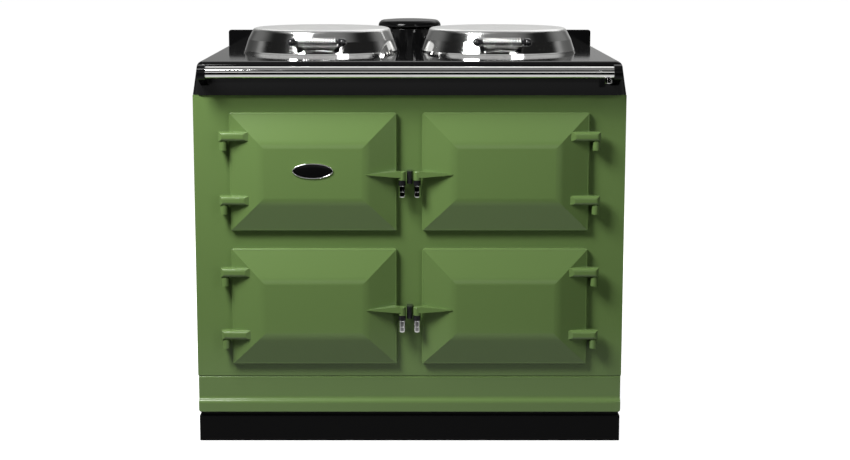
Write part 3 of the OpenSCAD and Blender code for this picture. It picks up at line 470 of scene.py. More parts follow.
@dataclass(frozen=True)
class MachinedIron(Finish):
    """Hotplate tops: grey iron turned on a lathe, seasoned and slightly blued by heat."""

    centre_x: float = PLATE_X
    centre_y: float = PLATE_Y
    pitch: float = 1.1
    colour: Colour = (0.16, 0.16, 0.165)

    def lay(self, recipe: Recipe) -> None:
        """Cut the lathe's rings round both centres and stain the metal."""
        x, y, _ = recipe.along(recipe.place())
        radius = recipe.radius(abs(x) - self.centre_x * MM, y - self.centre_y * MM)
        groove = (radius * (2.0 * math.pi / (self.pitch * MM))).wave() * 0.5 + 0.5
        stain = recipe.noise(14.0, 4.0, 0.6)
        grit = recipe.noise(700.0, 2.0)
        warm = tuple(c * k for c, k in zip(self.colour, (1.25, 1.1, 0.95)))
        colour = recipe.mixed(stain.rise(0.35, 0.7), self.colour, warm)
        recipe.surface(Base_Color=recipe.mixed(groove * 0.35, colour, (0.05, 0.05, 0.052)), Metallic=0.85,
                       Roughness=0.3 + stain * 0.2, Normal=recipe.relief(groove * 0.8 + grit * 0.2, 0.05))


@dataclass(frozen=True)
class SandCastIron(Finish):
    """Rough iron as it left the sand, with a dull heat-darkened skin."""

    colour: Colour = (0.075, 0.072, 0.07)
    grain_mm: float = 0.35

    def lay(self, recipe: Recipe) -> None:
        """Pit the skin with sand grain and brown it in places."""
        grain = recipe.noise(420.0, 4.0, 0.65)
        lumps = recipe.noise(45.0, 2.0)
        brown = recipe.noise(9.0, 4.0, 0.6).rise(0.5, 0.8)
        colour = recipe.mixed(brown * 0.5, self.colour, (0.11, 0.082, 0.062))
        coarse = recipe.relief(lumps, 0.5)
        recipe.surface(Base_Color=recipe.mixed(grain * 0.5, colour, (0.035, 0.034, 0.034)), Metallic=0.35,
                       Roughness=0.55 + (grain - 0.5) * 0.3,
                       Normal=recipe.relief(grain, self.grain_mm, coarse))


@dataclass(frozen=True)
class ZincSheet(Finish):
    """Galvanised sheet with its spangle of zinc crystals."""

    colour: Colour = (0.46, 0.475, 0.49)
    spangle: float = 75.0

    def lay(self, recipe: Recipe) -> None:
        """Break the zinc into crystals of several greys."""
        warp = recipe.noise(30.0, 2.0)
        shift = recipe.joined(warp * 0.012, warp * 0.008, warp * 0.01)
        bent = recipe.node("ShaderNodeVectorMath", {"operation": "ADD"}, {0: recipe.place(), 1: shift}).outputs[0]
        tint = recipe.along(recipe.cells(self.spangle, bent).outputs["Color"])[0]
        fine = recipe.along(recipe.cells(self.spangle * 3.3, bent).outputs["Color"])[0]
        shade = tint * 0.7 + fine * 0.3
        low, high = toned(self.colour, 0.8), toned(self.colour, 1.15)
        stain = recipe.noise(6.0, 4.0, 0.6).rise(0.45, 0.8)
        colour = recipe.mixed(stain * 0.25, recipe.mixed(shade, low, high), (0.30, 0.30, 0.29))
        recipe.surface(Base_Color=colour, Metallic=0.9, Roughness=0.34 + (shade - 0.5) * 0.2 + stain * 0.1,
                       Normal=recipe.relief(shade, 0.02))


@dataclass(frozen=True)
class BrushedSheet(Finish):
    """Stainless sheet brushed along one axis."""

    colour: Colour = (0.56, 0.56, 0.55)
    grain: tuple[float, float, float] = (5.0, 1100.0, 1100.0)
    rough: float = 0.3
    heat: float = 0.0

    def lay(self, recipe: Recipe) -> None:
        """Brush the metal and straw-colour it where it is heated."""
        lines = recipe.grained(self.grain, 3.0)
        straw = recipe.noise(7.0, 3.0, 0.5).rise(0.35, 0.75)
        warm = (self.colour[0] * 0.95, self.colour[1] * 0.82, self.colour[2] * 0.6)
        colour = recipe.mixed(straw * self.heat, self.colour, warm)
        recipe.surface(Base_Color=recipe.mixed(lines * 0.35, colour, toned(self.colour, 0.7)), Metallic=1.0,
                       Roughness=self.rough + (lines - 0.5) * 0.16, Normal=recipe.relief(lines, 0.012))


@dataclass(frozen=True)
class GlossResin(Finish):
    """Moulded black resin with a soft sheen of handling."""

    colour: Colour = (0.011, 0.011, 0.012)
    rough: float = 0.13

    def lay(self, recipe: Recipe) -> None:
        """Flow the moulding slightly and smear its gloss."""
        flow = recipe.grained((1.0, 0.4, 1.0), 2.0, 0.5, 60.0)
        smears = recipe.noise(90.0, 3.0, 0.6).rise(0.45, 0.75)
        recipe.surface(Base_Color=recipe.mixed(flow, self.colour, toned(self.colour, 1.9)), Metallic=0.0,
                       Roughness=self.rough + smears * 0.1, Specular_IOR_Level=0.5, Coat_Weight=0.3,
                       Coat_Roughness=0.05, Normal=recipe.relief(flow, 0.04))


@dataclass(frozen=True)
class HeatedSheath(Finish):
    """The sheath of a heating element, dull and heat-blued."""

    colour: Colour = (0.09, 0.088, 0.09)

    def lay(self, recipe: Recipe) -> None:
        """Blue and brown the sheath in bands."""
        bands = recipe.noise(28.0, 3.0, 0.6).rise(0.35, 0.7)
        skin = recipe.noise(1200.0, 2.0)
        colour = recipe.mixed(bands, self.colour, (0.14, 0.10, 0.075))
        recipe.surface(Base_Color=recipe.mixed(skin * 0.4, colour, (0.04, 0.042, 0.05)), Metallic=0.7,
                       Roughness=0.42 + (skin - 0.5) * 0.2, Normal=recipe.relief(skin, 0.02))


@dataclass(frozen=True)
class WovenRope(Finish):
    """A flattened braid of glass yarn, read along its own length."""

    # Colour of the painted shade in the gaps between yarns, and of the soot.
    dark: Colour = (0.045, 0.043, 0.04)
    pale: Colour = (0.30, 0.285, 0.255)
    yarns: float = 8.0

    def lay(self, recipe: Recipe) -> None:
        """Cross two sets of yarns over and under along the braid, with painted shade darkening the gaps between
        the yarns.
        """
        around, length, _ = recipe.along(recipe.node("ShaderNodeTexCoord").outputs["UV"])
        turn = 2.0 * math.pi
        one = (around * (self.yarns * turn) + length * (2.0 * turn)).wave() * 0.5 + 0.5
        two = (around * (self.yarns * turn) - length * (2.0 * turn)).wave() * 0.5 + 0.5
        weave = one.most(two)
        fray = recipe.noise(1500.0, 3.0, 0.7)
        soot = recipe.noise(30.0, 3.0, 0.6).rise(0.4, 0.75)
        # Painted shade: where the braid sinks between yarns the colour goes to the dark tone, the crests keep the
        # yarn's pale colour, and the fray varies it.
        colour = recipe.mixed(weave * 0.75 + fray * 0.25, self.dark, self.pale)
        recipe.surface(Base_Color=recipe.mixed(soot * 0.4, colour, self.dark), Metallic=0.0,
                       Roughness=0.85 + (fray - 0.5) * 0.2,
                       Normal=recipe.relief(weave * 0.7 + fray * 0.3, 0.5))


@dataclass(frozen=True)
class MineralWool(Finish):
    """Blanket of pale mineral fibre."""

    def lay(self, recipe: Recipe) -> None:
        """Lay fibres in streaks over soft lumps."""
        fibre = recipe.grained((60.0, 420.0, 420.0), 5.0, 0.75)
        lumps = recipe.noise(28.0, 3.0, 0.6)
        colour = recipe.mixed(fibre, (0.36, 0.29, 0.17), (0.80, 0.73, 0.56))
        recipe.surface(Base_Color=recipe.mixed(lumps * 0.3, colour, (0.5, 0.42, 0.28)), Metallic=0.0,
                       Roughness=0.9 + (fibre - 0.5) * 0.1,
                       Normal=recipe.relief(fibre * 0.5 + lumps * 0.5, 2.0))


@dataclass(frozen=True)
class PrintedInk(Finish):
    """Fired print on a fascia or a knob."""

    colour: Colour = (0.02, 0.02, 0.02)

    def lay(self, recipe: Recipe) -> None:
        """Break the ink up slightly."""
        grain = recipe.noise(2500.0, 2.0)
        recipe.surface(Base_Color=recipe.mixed(grain * 0.4, self.colour, toned(self.colour, 0.7, 0.01)),
                       Metallic=0.0, Roughness=0.4 + (grain - 0.5) * 0.2, Normal=recipe.relief(grain, 0.01))


@dataclass(frozen=True)
class LampJewel(Finish):
    """Amber moulded lens of a pilot lamp."""

    def lay(self, recipe: Recipe) -> None:
        """Facet the lens with fine cells."""
        facet = Signal(recipe, recipe.cells(700.0).outputs["Distance"])
        recipe.surface(Base_Color=recipe.mixed(facet * 2.0, (0.62, 0.16, 0.015), (0.85, 0.33, 0.05)),
                       Metallic=0.0, Roughness=0.12 + facet * 0.1, Coat_Weight=0.6,
                       Normal=recipe.relief(facet, 0.15))


GREEN_ENAMEL = VitreousEnamel("green_vitreous_enamel", Slot.GREEN)
TOP_ENAMEL = VitreousEnamel("black_hob_enamel", Slot.BLACK, colour=(0.003, 0.003, 0.0032), cloud=0.12,
                            rough=0.07, coat=0.0, specular=0.12, peel_mm=0.006, wave_mm=0.08)
PLINTH_ENAMEL = VitreousEnamel("black_plinth_enamel", Slot.BLACK, colour=(0.003, 0.003, 0.0032), cloud=0.12,
                               rough=0.34, coat=0.0, specular=0.05, peel_mm=0.01, wave_mm=0.1)
RAIL_STEEL = BrightSteel("rail_polished_steel", Slot.POLISHED)
WIRE_STEEL = BrightSteel("coil_wire_steel", Slot.POLISHED, rough=0.09, grain=(500.0, 500.0, 500.0))
RIM_STEEL = BrightSteel("rim_polished_steel", Slot.POLISHED, grain=(300.0, 300.0, 300.0))
GRIP_STEEL = BarrelSteel("grip_barrel_steel", Slot.POLISHED)
SHELF_STEEL = BrightSteel("shelf_rod_steel", Slot.POLISHED, colour=(0.68, 0.67, 0.65), rough=0.2,
                          grain=(200.0, 8.0, 900.0))
TURNED_IRON = MachinedIron("turned_hotplate_iron", Slot.CAST)
CAST_IRON = SandCastIron("sand_cast_iron", Slot.CAST)
SHEATH = HeatedSheath("element_sheath", Slot.CAST)
ZINC = ZincSheet("galvanised_sheet", Slot.SHEET)
LINER = BrushedSheet("brushed_liner", Slot.SHEET, heat=0.35)
FASCIA = BrushedSheet("brushed_fascia", Slot.SHEET, colour=(0.62, 0.62, 0.61), rough=0.26)
RESIN = GlossResin("black_gloss_resin", Slot.TRIM)
ROPE = WovenRope("woven_glass_rope", Slot.ROPE)
WOOL = MineralWool("mineral_wool", Slot.WOOL)
INK = PrintedInk("black_fired_print", Slot.TRIM)
WHITE_INK = PrintedInk("white_fired_print", Slot.TRIM, colour=(0.78, 0.78, 0.76))
AMBER = LampJewel("amber_lamp_jewel", Slot.TRIM)


def cover(piece: bpy.types.Object, finish: Finish) -> None:
    """Give an object one material."""
    piece.data.materials.clear()
    piece.data.materials.append(finish.material())


# The bench


class Bench:
    """Hand tools for meshes. Each leaves everything else deselected."""

    @staticmethod
    def clear() -> None:
        """Leave edit mode and deselect everything."""
        if bpy.context.object is not None and bpy.context.object.mode != "OBJECT":
            bpy.ops.object.mode_set(mode="OBJECT")
        bpy.ops.object.select_all(action="DESELECT")

    @classmethod
    def add(cls, name: str, operator: Callable[..., Any], **sizes: Any) -> bpy.types.Object:
        """Add a primitive at its size and place.

        Args:
            name: The new piece's name.
            operator: The operator that adds it.
            sizes: The operator's settings.

        Returns:
            The piece, alone selected.
        """
        cls.clear()
        operator(**sizes)
        piece = bpy.context.object
        piece.name = piece.data.name = name
        return piece

    @classmethod
    def hold(cls, piece: bpy.types.Object, editing: bool = False) -> None:
        """Select one piece alone, and open it for editing if asked.

        Args:
            piece: The piece.
            editing: Whether to go to edit mode with everything in it selected.
        """
        cls.clear()
        piece.select_set(True)
        bpy.context.view_layer.objects.active = piece
        if editing:
            bpy.ops.object.mode_set(mode="EDIT")
            cls.mark("FACE")

    @staticmethod
    def mark(kind: str, action: str = "SELECT") -> None:
        """Choose whether faces, edges or points are picked, and select all or none of them."""
        bpy.ops.mesh.select_mode(type=kind)
        bpy.ops.mesh.select_all(action=action)

    @staticmethod
    def pick_faces(piece: bpy.types.Object, test: Callable[[Vector, Vector], bool]) -> int:
        """Select faces in edit mode.

        Args:
            piece: The piece that is being edited.
            test: Tells from a face's centre and normal whether it is wanted.

        Returns:
            How many faces are selected.
        """
        Bench.mark("FACE", "DESELECT")
        mesh = bmesh.from_edit_mesh(piece.data)
        mesh.normal_update()
        for face in mesh.faces:
            face.select_set(bool(test(face.calc_center_median(), face.normal)))
        mesh.select_flush_mode()
        bmesh.update_edit_mesh(piece.data)
        return sum(f.select for f in mesh.faces)

    @staticmethod
    def pick_edges(piece: bpy.types.Object, test: Callable[[Vector, Vector], bool]) -> int:
        """Select edges in edit mode.

        Args:
            piece: The piece that is being edited.
            test: Tells from an edge's two ends whether it is wanted.

        Returns:
            How many edges are selected.
        """
        Bench.mark("EDGE", "DESELECT")
        mesh = bmesh.from_edit_mesh(piece.data)
        for edge in mesh.edges:
            edge.select_set(bool(test(edge.verts[0].co, edge.verts[1].co)))
        bmesh.update_edit_mesh(piece.data)
        return sum(e.select for e in mesh.edges)

    @staticmethod
    def slide(distance: Sequence[float]) -> None:
        """Extrude the selected faces by a distance in metres."""
        bpy.ops.mesh.extrude_region_move(TRANSFORM_OT_translate={"value": tuple(distance)})

    @classmethod
    def round_corners(cls, radius: float, segments: int) -> None:
        """Round a flat outline's corners, and leave it all selected as faces."""
        cls.mark("VERT")
        bpy.ops.mesh.bevel(offset=radius, segments=segments, affect="VERTICES")
        cls.mark("FACE")

    @staticmethod
    def cut(piece: bpy.types.Object, axis: int, at: float) -> None:
        """Cut the whole mesh across one axis.

        Args:
            piece: The piece that is being edited; not used.
            axis: The axis across which to cut.
            at: Where, in metres.
        """
        bpy.ops.mesh.select_all(action="SELECT")
        point, normal = [0.0] * 3, [0.0] * 3
        point[axis], normal[axis] = at, 1.0
        bpy.ops.mesh.bisect(plane_co=point, plane_no=normal)

    @classmethod
    def modify(cls, piece: bpy.types.Object, kind: str, **settings: Any) -> None:
        """Add a modifier and apply it.

        Args:
            piece: The piece to change.
            kind: The modifier's type.
            settings: Its settings.
        """
        cls.hold(piece)
        modifier = piece.modifiers.new(kind.title(), kind)
        for key, setting in settings.items():
            setattr(modifier, key, setting)
        bpy.ops.object.modifier_apply(modifier=modifier.name)

    @classmethod
    def settle(cls, piece: bpy.types.Object) -> None:
        """Make a piece's place, turn and scale part of its mesh."""
        cls.hold(piece)
        bpy.ops.object.transform_apply(location=True, rotation=True, scale=True)

    @classmethod
    def seat(cls, piece: bpy.types.Object, place: Sequence[float], turn: Sequence[float] = (0, 0, 0)) -> None:
        """Put a piece in its place and settle it there.

        Args:
            piece: The piece, modelled round the origin.
            place: Where it goes, in millimetres.
            turn: Its turn about X, Y and Z, in radians.
        """
        piece.rotation_euler = turn
        piece.location = Vector(place) * MM
        cls.settle(piece)

    @classmethod
    def copies(cls, pattern: bpy.types.Object, name: str,
               places: Iterable[tuple[Sequence[float], Sequence[float]]]) -> bpy.types.Object:
        """Copy a pattern to several places as one piece, and leave the pattern as it is.

        Args:
            pattern: The piece to copy.
            name: The name of the new piece.
            places: The place in millimetres and the turn in radians of each copy.

        Returns:
            The new piece.
        """
        made = []
        for place, turn in places:
            one = pattern.copy()
            one.data = pattern.data.copy()
            bpy.context.scene.collection.objects.link(one)
            cls.seat(one, place, turn)
            made.append(one)
        cls.clear()
        for one in made:
            one.select_set(True)
        bpy.context.view_layer.objects.active = made[0]
        if len(made) > 1:
            bpy.ops.object.join()
        piece = bpy.context.view_layer.objects.active
        piece.name = piece.data.name = name
        return piece

    @classmethod
    def tidy(cls, piece: bpy.types.Object, angle: float = 35.0) -> None:
        """Merge doubles, turn all faces outwards and smooth the mesh.

        Args:
            piece: The piece.
            angle: Edges sharper than this stay sharp, in degrees.
        """
        cls.hold(piece, editing=True)
        bpy.ops.mesh.remove_doubles(threshold=1e-6)
        bpy.ops.mesh.select_all(action="SELECT")
        bpy.ops.mesh.normals_make_consistent(inside=False)
        cls.hold(piece)
        bpy.ops.object.shade_smooth_by_angle(angle=math.radians(angle))

    @classmethod
    def scrap(cls, *pieces: bpy.types.Object) -> None:
        """Delete patterns that are no longer needed."""
        for piece in pieces:
            bpy.data.objects.remove(piece)


def fit(piece: bpy.types.Object, body: str, finish: Finish, *stands_for: str) -> None:
    """Dress a finished piece and hang it on its body.

    Args:
        piece: The finished piece.
        body: The body that carries it.
        finish: Its finish.
        stands_for: Solids that it replaces.
    """
    cover(piece, finish)
    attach(piece, body)
    if stands_for:
        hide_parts(*stands_for)
    log.info("piece %s on %s, %d faces", piece.name, body, len(piece.data.polygons))


# Small fixings


@dataclass
class PanScrew:
    """A pan-head screw with a cross recess, modelled once with its head upwards."""

    radius: float = 3.4
    height: float = 1.8
    slot: float = 0.75
    reach: float = 2.0
    depth: float = 1.0
    first_turn: float = 0.35
    next_turn: float = 1.3

    def pattern(self) -> bpy.types.Object:
        """Model the head: bevelled drum, with a cross pressed into its top.

        Returns:
            The pattern round the origin, foot at height zero.
        """
        r, h = self.radius * MM, self.height * MM
        piece = Bench.add("screw_pattern", bpy.ops.mesh.primitive_cylinder_add, vertices=24, radius=r,
                          depth=h, location=(0, 0, h / 2))
        Bench.settle(piece)
        Bench.hold(piece, editing=True)
        Bench.pick_edges(piece, lambda a, b: a.z > h * 0.9 and b.z > h * 0.9)
        bpy.ops.mesh.bevel(offset=h * 0.45, segments=3, affect="EDGES")
        for axis in (0, 1):
            for at in (-self.reach, -self.slot, self.slot, self.reach):
                Bench.cut(piece, axis, at * MM)
        slot, reach = self.slot * MM, self.reach * MM
        Bench.pick_faces(piece, lambda c, n: n.z > 0.9 and c.z > h * 0.9 and (
            (abs(c.x) < slot and abs(c.y) < reach) or (abs(c.y) < slot and abs(c.x) < reach)))
        Bench.slide((0, 0, -self.depth * MM))
        Bench.tidy(piece, 30.0)
        return piece

    def row(self, name: str, body: str, facing: Facing, places: Sequence[Sequence[float]]) -> None:
        """Set a group of screws into a panel.

        Args:
            name: The group's name.
            body: The body that carries it.
            facing: The way the heads face.
            places: Where each head sits, in millimetres.
        """
        pattern = self.pattern()
        spots = []
        for i, place in enumerate(places):
            spin = self.first_turn + self.next_turn * i
            turn = (0.0, 0.0, spin) if facing is Facing.UP else (facing.value, spin, 0.0)
            spots.append((place, turn))
        fit(Bench.copies(pattern, name, spots), body, RIM_STEEL)
        Bench.scrap(pattern)


# Sub-assemblies


class SubAssembly:
    """What every sub-assembly has. Some only dress solids, and one only adds pieces."""

    def dress(self) -> None:
        """Give the solids their finishes."""

    def build(self) -> None:
        """Model the pieces that the solids leave out."""


@dataclass
class Carcase(SubAssembly):
    """Plinth, base, front plate, sides and back."""

    back_face: float = 350.5
    edge_x: float = 478.0
    heights: tuple[float, ...] = (92.0, 270.0, 450.0, 630.0, 792.0)
    between_x: tuple[float, ...] = (-320.0, -160.0, 160.0, 320.0)
    between_z: tuple[float, ...] = (84.0, 798.0)

    def dress(self) -> None:
        """Enamel the front and sides and leave the back in zinc."""
        GREEN_ENAMEL.on("base_panel", "front_plate", "side_panels", "hinge_pintles")
        PLINTH_ENAMEL.on("plinth", "base_plate")
        ZINC.on("back_panel")
        WOOL.on("insulation")
        RESIN.on("door_catches")

    def build(self) -> None:
        """Screw the back panel on."""
        places = [(s * self.edge_x, self.back_face, z) for s in (-1, 1) for z in self.heights]
        places += [(x, self.back_face, z) for x in self.between_x for z in self.between_z]
        PanScrew().row("back_panel_screws", "range", Facing.BACK, places)


@dataclass
class Hob(SubAssembly):
    """Top plate, upstand, flue, hotplates and the lid brackets."""

    plate_x: float = PLATE_X
    pin_y: float = 250.5
    foot_top: float = 889.5
    screw_x: float = 32.2
    screw_y: tuple[float, ...] = (-4.0, 16.0)
    nut_at: tuple[float, float, float] = (442.0, -365.5, 847.5)
    nut_r: float = 8.5
    nut_h: float = 15.0
    nut_sides: int = 40
    nut_round: float = 2.0
    flute: float = 0.9
    flute_every: int = 4

    def dress(self) -> None:
        """Enamel the top and finish the hotplates."""
        TOP_ENAMEL.on("top_plate", "upstand", "flue_outlet", "flue_cap", "lid_hinge_brackets",
                      "rail_brackets")
        ZINC.on("flue_duct", "element_pans")
        TURNED_IRON.on("hotplates")
        SHEATH.on("hotplate_elements")
        RIM_STEEL.on("hotplate_rings")
        RAIL_STEEL.on("handrail")

    def clamp(self) -> None:
        """Turn the fluted nut that clamps the rail at its right end."""
        half, sides = self.nut_h / 2 * MM, self.nut_sides
        nut = Bench.add("rail_clamp_nut", bpy.ops.mesh.primitive_cylinder_add, vertices=sides,
                        radius=self.nut_r * MM, depth=2 * half)
        Bench.hold(nut, editing=True)
        Bench.pick_edges(nut, lambda a, b: max(a.z, b.z) < -half * 0.9)
        bpy.ops.mesh.bevel(offset=self.nut_round * MM, segments=3, affect="EDGES")
        Bench.pick_faces(nut, lambda c, n: abs(n.z) < 0.05 and abs(c.z) < half * 0.9 and math.floor(
            math.atan2(n.y, n.x) / (2.0 * math.pi) * sides) % self.flute_every == 0)
        bpy.ops.mesh.inset(thickness=0.2 * MM, use_individual=True)
        bpy.ops.transform.shrink_fatten(value=-self.flute * MM)
        Bench.tidy(nut, 30.0)
        Bench.seat(nut, self.nut_at)
        fit(nut, "range", RIM_STEEL)

    def build(self) -> None:
        """Screw the lid brackets down and clamp the rail."""
        self.clamp()
        places = [(s * self.plate_x + t * self.screw_x, self.pin_y + y, self.foot_top)
                  for s in (-1, 1) for t in (-1, 1) for y in self.screw_y]
        PanScrew(radius=3.0, reach=1.7, slot=0.6).row("lid_bracket_screws", "range", Facing.UP, places)


@dataclass
class WoundLid(SubAssembly):
    """One domed lid with its wound handle."""

    side: Side
    centre_y: float = PLATE_Y
    handle_y: float = -171.5
    handle_z: float = 919.8
    length: float = 100.0
    wire: float = 4.4
    winding_r: float = 8.3
    turns: int = 14
    steps: int = 28
    wire_sides: int = 12

    @property
    def name(self) -> str:
        """The lid's name."""
        return f"{self.side.name.lower()}_lid"

    @property
    def centre_x(self) -> float:
        """The lid's centre, from the middle of the cooker."""
        return self.side.value * PLATE_X

    def dress(self) -> None:
        """Spin the lid's metal, line it and blacken the handle."""
        centre = (self.centre_x, self.centre_y)
        SpunSteel(f"{self.name}_spun_steel", Slot.POLISHED, centre=centre).on(self.name)
        LINER.on(f"{self.name}_liner")
        RIM_STEEL.on(f"{self.name}_hinge")
        RESIN.on(f"{self.name}_handle")

    def build(self) -> None:
        """Wind the handle's wire between its collars."""
        wind, steps = self.length - 2.0 * self.wire, self.steps * self.turns
        ring = Bench.add(f"{self.name}_wound_wire", bpy.ops.mesh.primitive_circle_add,
                         vertices=self.wire_sides, radius=self.wire / 2 * MM,
                         location=(-wind / 2 * MM, self.winding_r * MM, 0))
        Bench.settle(ring)
        Bench.modify(ring, "SCREW", axis="X", angle=2.0 * math.pi * self.turns, screw_offset=wind * MM,
                     steps=steps, render_steps=steps, use_smooth_shade=True, use_merge_vertices=False)
        Bench.hold(ring, editing=True)
        Bench.mark("EDGE", "DESELECT")
        bpy.ops.mesh.select_non_manifold()
        bpy.ops.mesh.edge_face_add()
        for end in (-1, 1):
            if Bench.pick_faces(ring, lambda c, n: abs(c.x - end * wind / 2 * MM) < 1e-5) == 1:
                Bench.slide((end * self.wire / 2 * 0.9 * MM, 0, 0))
        Bench.tidy(ring, 50.0)
        Bench.seat(ring, (self.centre_x, self.handle_y, self.handle_z))
        fit(ring, self.name, WIRE_STEEL, f"{self.name}_coil")


@dataclass
class CastDoor(SubAssembly):
    """One hipped oven door with its liner, woven seal and hanging grip."""

    name: str
    side: Side
    row_z: float
    seal_w: float = 349.0
    seal_h: float = 240.5
    seal_r: float = 18.5
    seal_y: float = -313.9
    rope: tuple[float, float] = (8.0, 4.2)
    rib: float = 4.0
    liner_y: float = -281.5
    screw_at: tuple[float, float] = (146.0, 92.0)

    @property
    def centre_x(self) -> float:
        """The door's centre, from the middle of the cooker."""
        return self.side.value * COLUMN_X

    def dress(self) -> None:
        """Enamel the door and finish its liner and grip."""
        GREEN_ENAMEL.on(self.name)
        LINER.on(f"{self.name}_liner")
        GRIP_STEEL.on(f"{self.name}_grip")

    def seal_path(self) -> tuple[bpy.types.Object, float]:
        """Draw the rounded line that the rope follows.

        Returns:
            The line as a closed curve, flat on the ground, and its length in metres.
        """
        line = Bench.add("seal_path", bpy.ops.mesh.primitive_plane_add, size=1.0)
        line.scale = (self.seal_w * MM, self.seal_h * MM, 1.0)
        Bench.settle(line)
        Bench.hold(line, editing=True)
        Bench.round_corners(self.seal_r * MM, 12)
        bpy.ops.mesh.delete(type="ONLY_FACE")
        Bench.hold(line)
        points = line.data.vertices
        length = sum((points[e.vertices[0]].co - points[e.vertices[1]].co).length for e in line.data.edges)
        bpy.ops.object.convert(target="CURVE")
        line.data.dimensions = "3D"
        line.data.twist_mode = "Z_UP"
        return line, length

    def build(self) -> None:
        """Lay the rope in its frame and screw the liner on."""
        path, length = self.seal_path()
        count = round(length / (self.rib * MM))
        pitch = length / count
        width, thick = self.rope
        rope = Bench.add(f"{self.name}_rope", bpy.ops.mesh.primitive_cylinder_add, vertices=16,
                         radius=0.5 * MM, depth=pitch, end_fill_type="NOTHING", location=(pitch / 2, 0, 0),
                         rotation=(0, math.pi / 2, 0), calc_uvs=True)
        rope.scale = (thick, width, 1.0)
        Bench.settle(rope)
        Bench.hold(rope, editing=True)
        Bench.cut(rope, 0, pitch / 2)
        Bench.pick_edges(rope, lambda a, b: min(abs(a.x), abs(a.x - pitch)) < 1e-7 and abs(a.x - b.x) < 1e-7)
        bpy.ops.transform.resize(value=(1.0, 0.93, 0.9))
        Bench.hold(rope)
        Bench.modify(rope, "ARRAY", count=count, use_relative_offset=False, use_constant_offset=True,
                     constant_offset_displace=(pitch, 0, 0), use_merge_vertices=True, merge_threshold=1e-6,
                     offset_v=0.5)
        Bench.modify(rope, "CURVE", object=path, deform_axis="POS_X")
        Bench.scrap(path)
        Bench.hold(rope, editing=True)
        bpy.ops.mesh.remove_doubles(threshold=2e-4)
        Bench.tidy(rope, 60.0)
        Bench.seat(rope, (self.centre_x, self.seal_y, self.row_z), TO_FRONT)
        fit(rope, self.name, ROPE, f"{self.name}_seal")
        x, z = self.screw_at
        PanScrew(radius=3.6, height=1.5).row(f"{self.name}_liner_screws", self.name, Facing.BACK, [
            (self.centre_x + i * x, self.liner_y, self.row_z + j * z) for i in (-1, 1) for j in (-1, 1)])


@dataclass
class BarePlate(SubAssembly):
    """The plain oval plate in its bright rim on the upper left door."""

    centre: tuple[float, float, float] = (-COLUMN_X, -351.5, 641.0)
    half_w: float = 46.0
    half_h: float = 17.5
    rim: float = 2.0
    rim_t: float = 2.8
    floor_t: float = 0.8
    plate_t: float = 2.0

    def oval(self, name: str, inset: float, thick: float) -> bpy.types.Object:
        """Cut an oval and raise it to its thickness.

        Args:
            name: The piece's name.
            inset: How far its edge lies inside the plate's outline.
            thick: Its thickness.

        Returns:
            The piece, lying face up.
        """
        piece = Bench.add(name, bpy.ops.mesh.primitive_circle_add, vertices=96, radius=1.0, fill_type="NGON")
        piece.scale = ((self.half_w - inset) * MM, (self.half_h - inset) * MM, 1.0)
        Bench.settle(piece)
        Bench.hold(piece, editing=True)
        Bench.slide((0, 0, thick * MM))
        return piece

    def build(self) -> None:
        """Model the rim with its bore and the flat plate inside it."""
        rim = self.oval("name_plate_rim", 0.0, self.rim_t)
        Bench.pick_faces(rim, lambda c, n: abs(n.z) > 0.9 and c.z > self.rim_t * 0.9 * MM)
        bpy.ops.mesh.inset(thickness=self.rim * MM)
        Bench.slide((0, 0, -(self.rim_t - self.floor_t) * MM))
        Bench.pick_edges(rim, lambda a, b: min(a.z, b.z) > self.rim_t * 0.95 * MM and self.on_loop(a, b))
        bpy.ops.mesh.bevel(offset=0.8 * MM, segments=4, affect="EDGES")
        Bench.tidy(rim, 40.0)
        Bench.seat(rim, self.centre, TO_FRONT)
        fit(rim, "control_door", RIM_STEEL)
        plate = self.oval("bare_name_plate", self.rim + 0.05, self.plate_t)
        Bench.pick_edges(plate, lambda a, b: min(a.z, b.z) > self.plate_t * 0.9 * MM)
        bpy.ops.mesh.bevel(offset=0.6 * MM, segments=3, affect="EDGES")
        Bench.tidy(plate, 40.0)
        x, y, z = self.centre
        Bench.seat(plate, (x, y - 0.05, z), TO_FRONT)
        fit(plate, "control_door", TOP_ENAMEL)

    def on_loop(self, a: Vector, b: Vector) -> bool:
        """Tell whether an edge runs along the rim and not across it."""
        def share(p: Vector) -> float:
            """How far out a point is, with 1 at the outline."""
            return math.hypot(p.x / (self.half_w * MM), p.y / (self.half_h * MM))
        return abs(share(a) - share(b)) < 0.02


@dataclass
class Ovens(SubAssembly):
    """The three oven castings with their shelves and elements."""

    def dress(self) -> None:
        """Finish the castings, rods and elements."""
        CAST_IRON.on("roasting_oven", "simmering_oven", "baking_oven")
        SHELF_STEEL.on("oven_shelves")
        SHEATH.on("oven_elements")


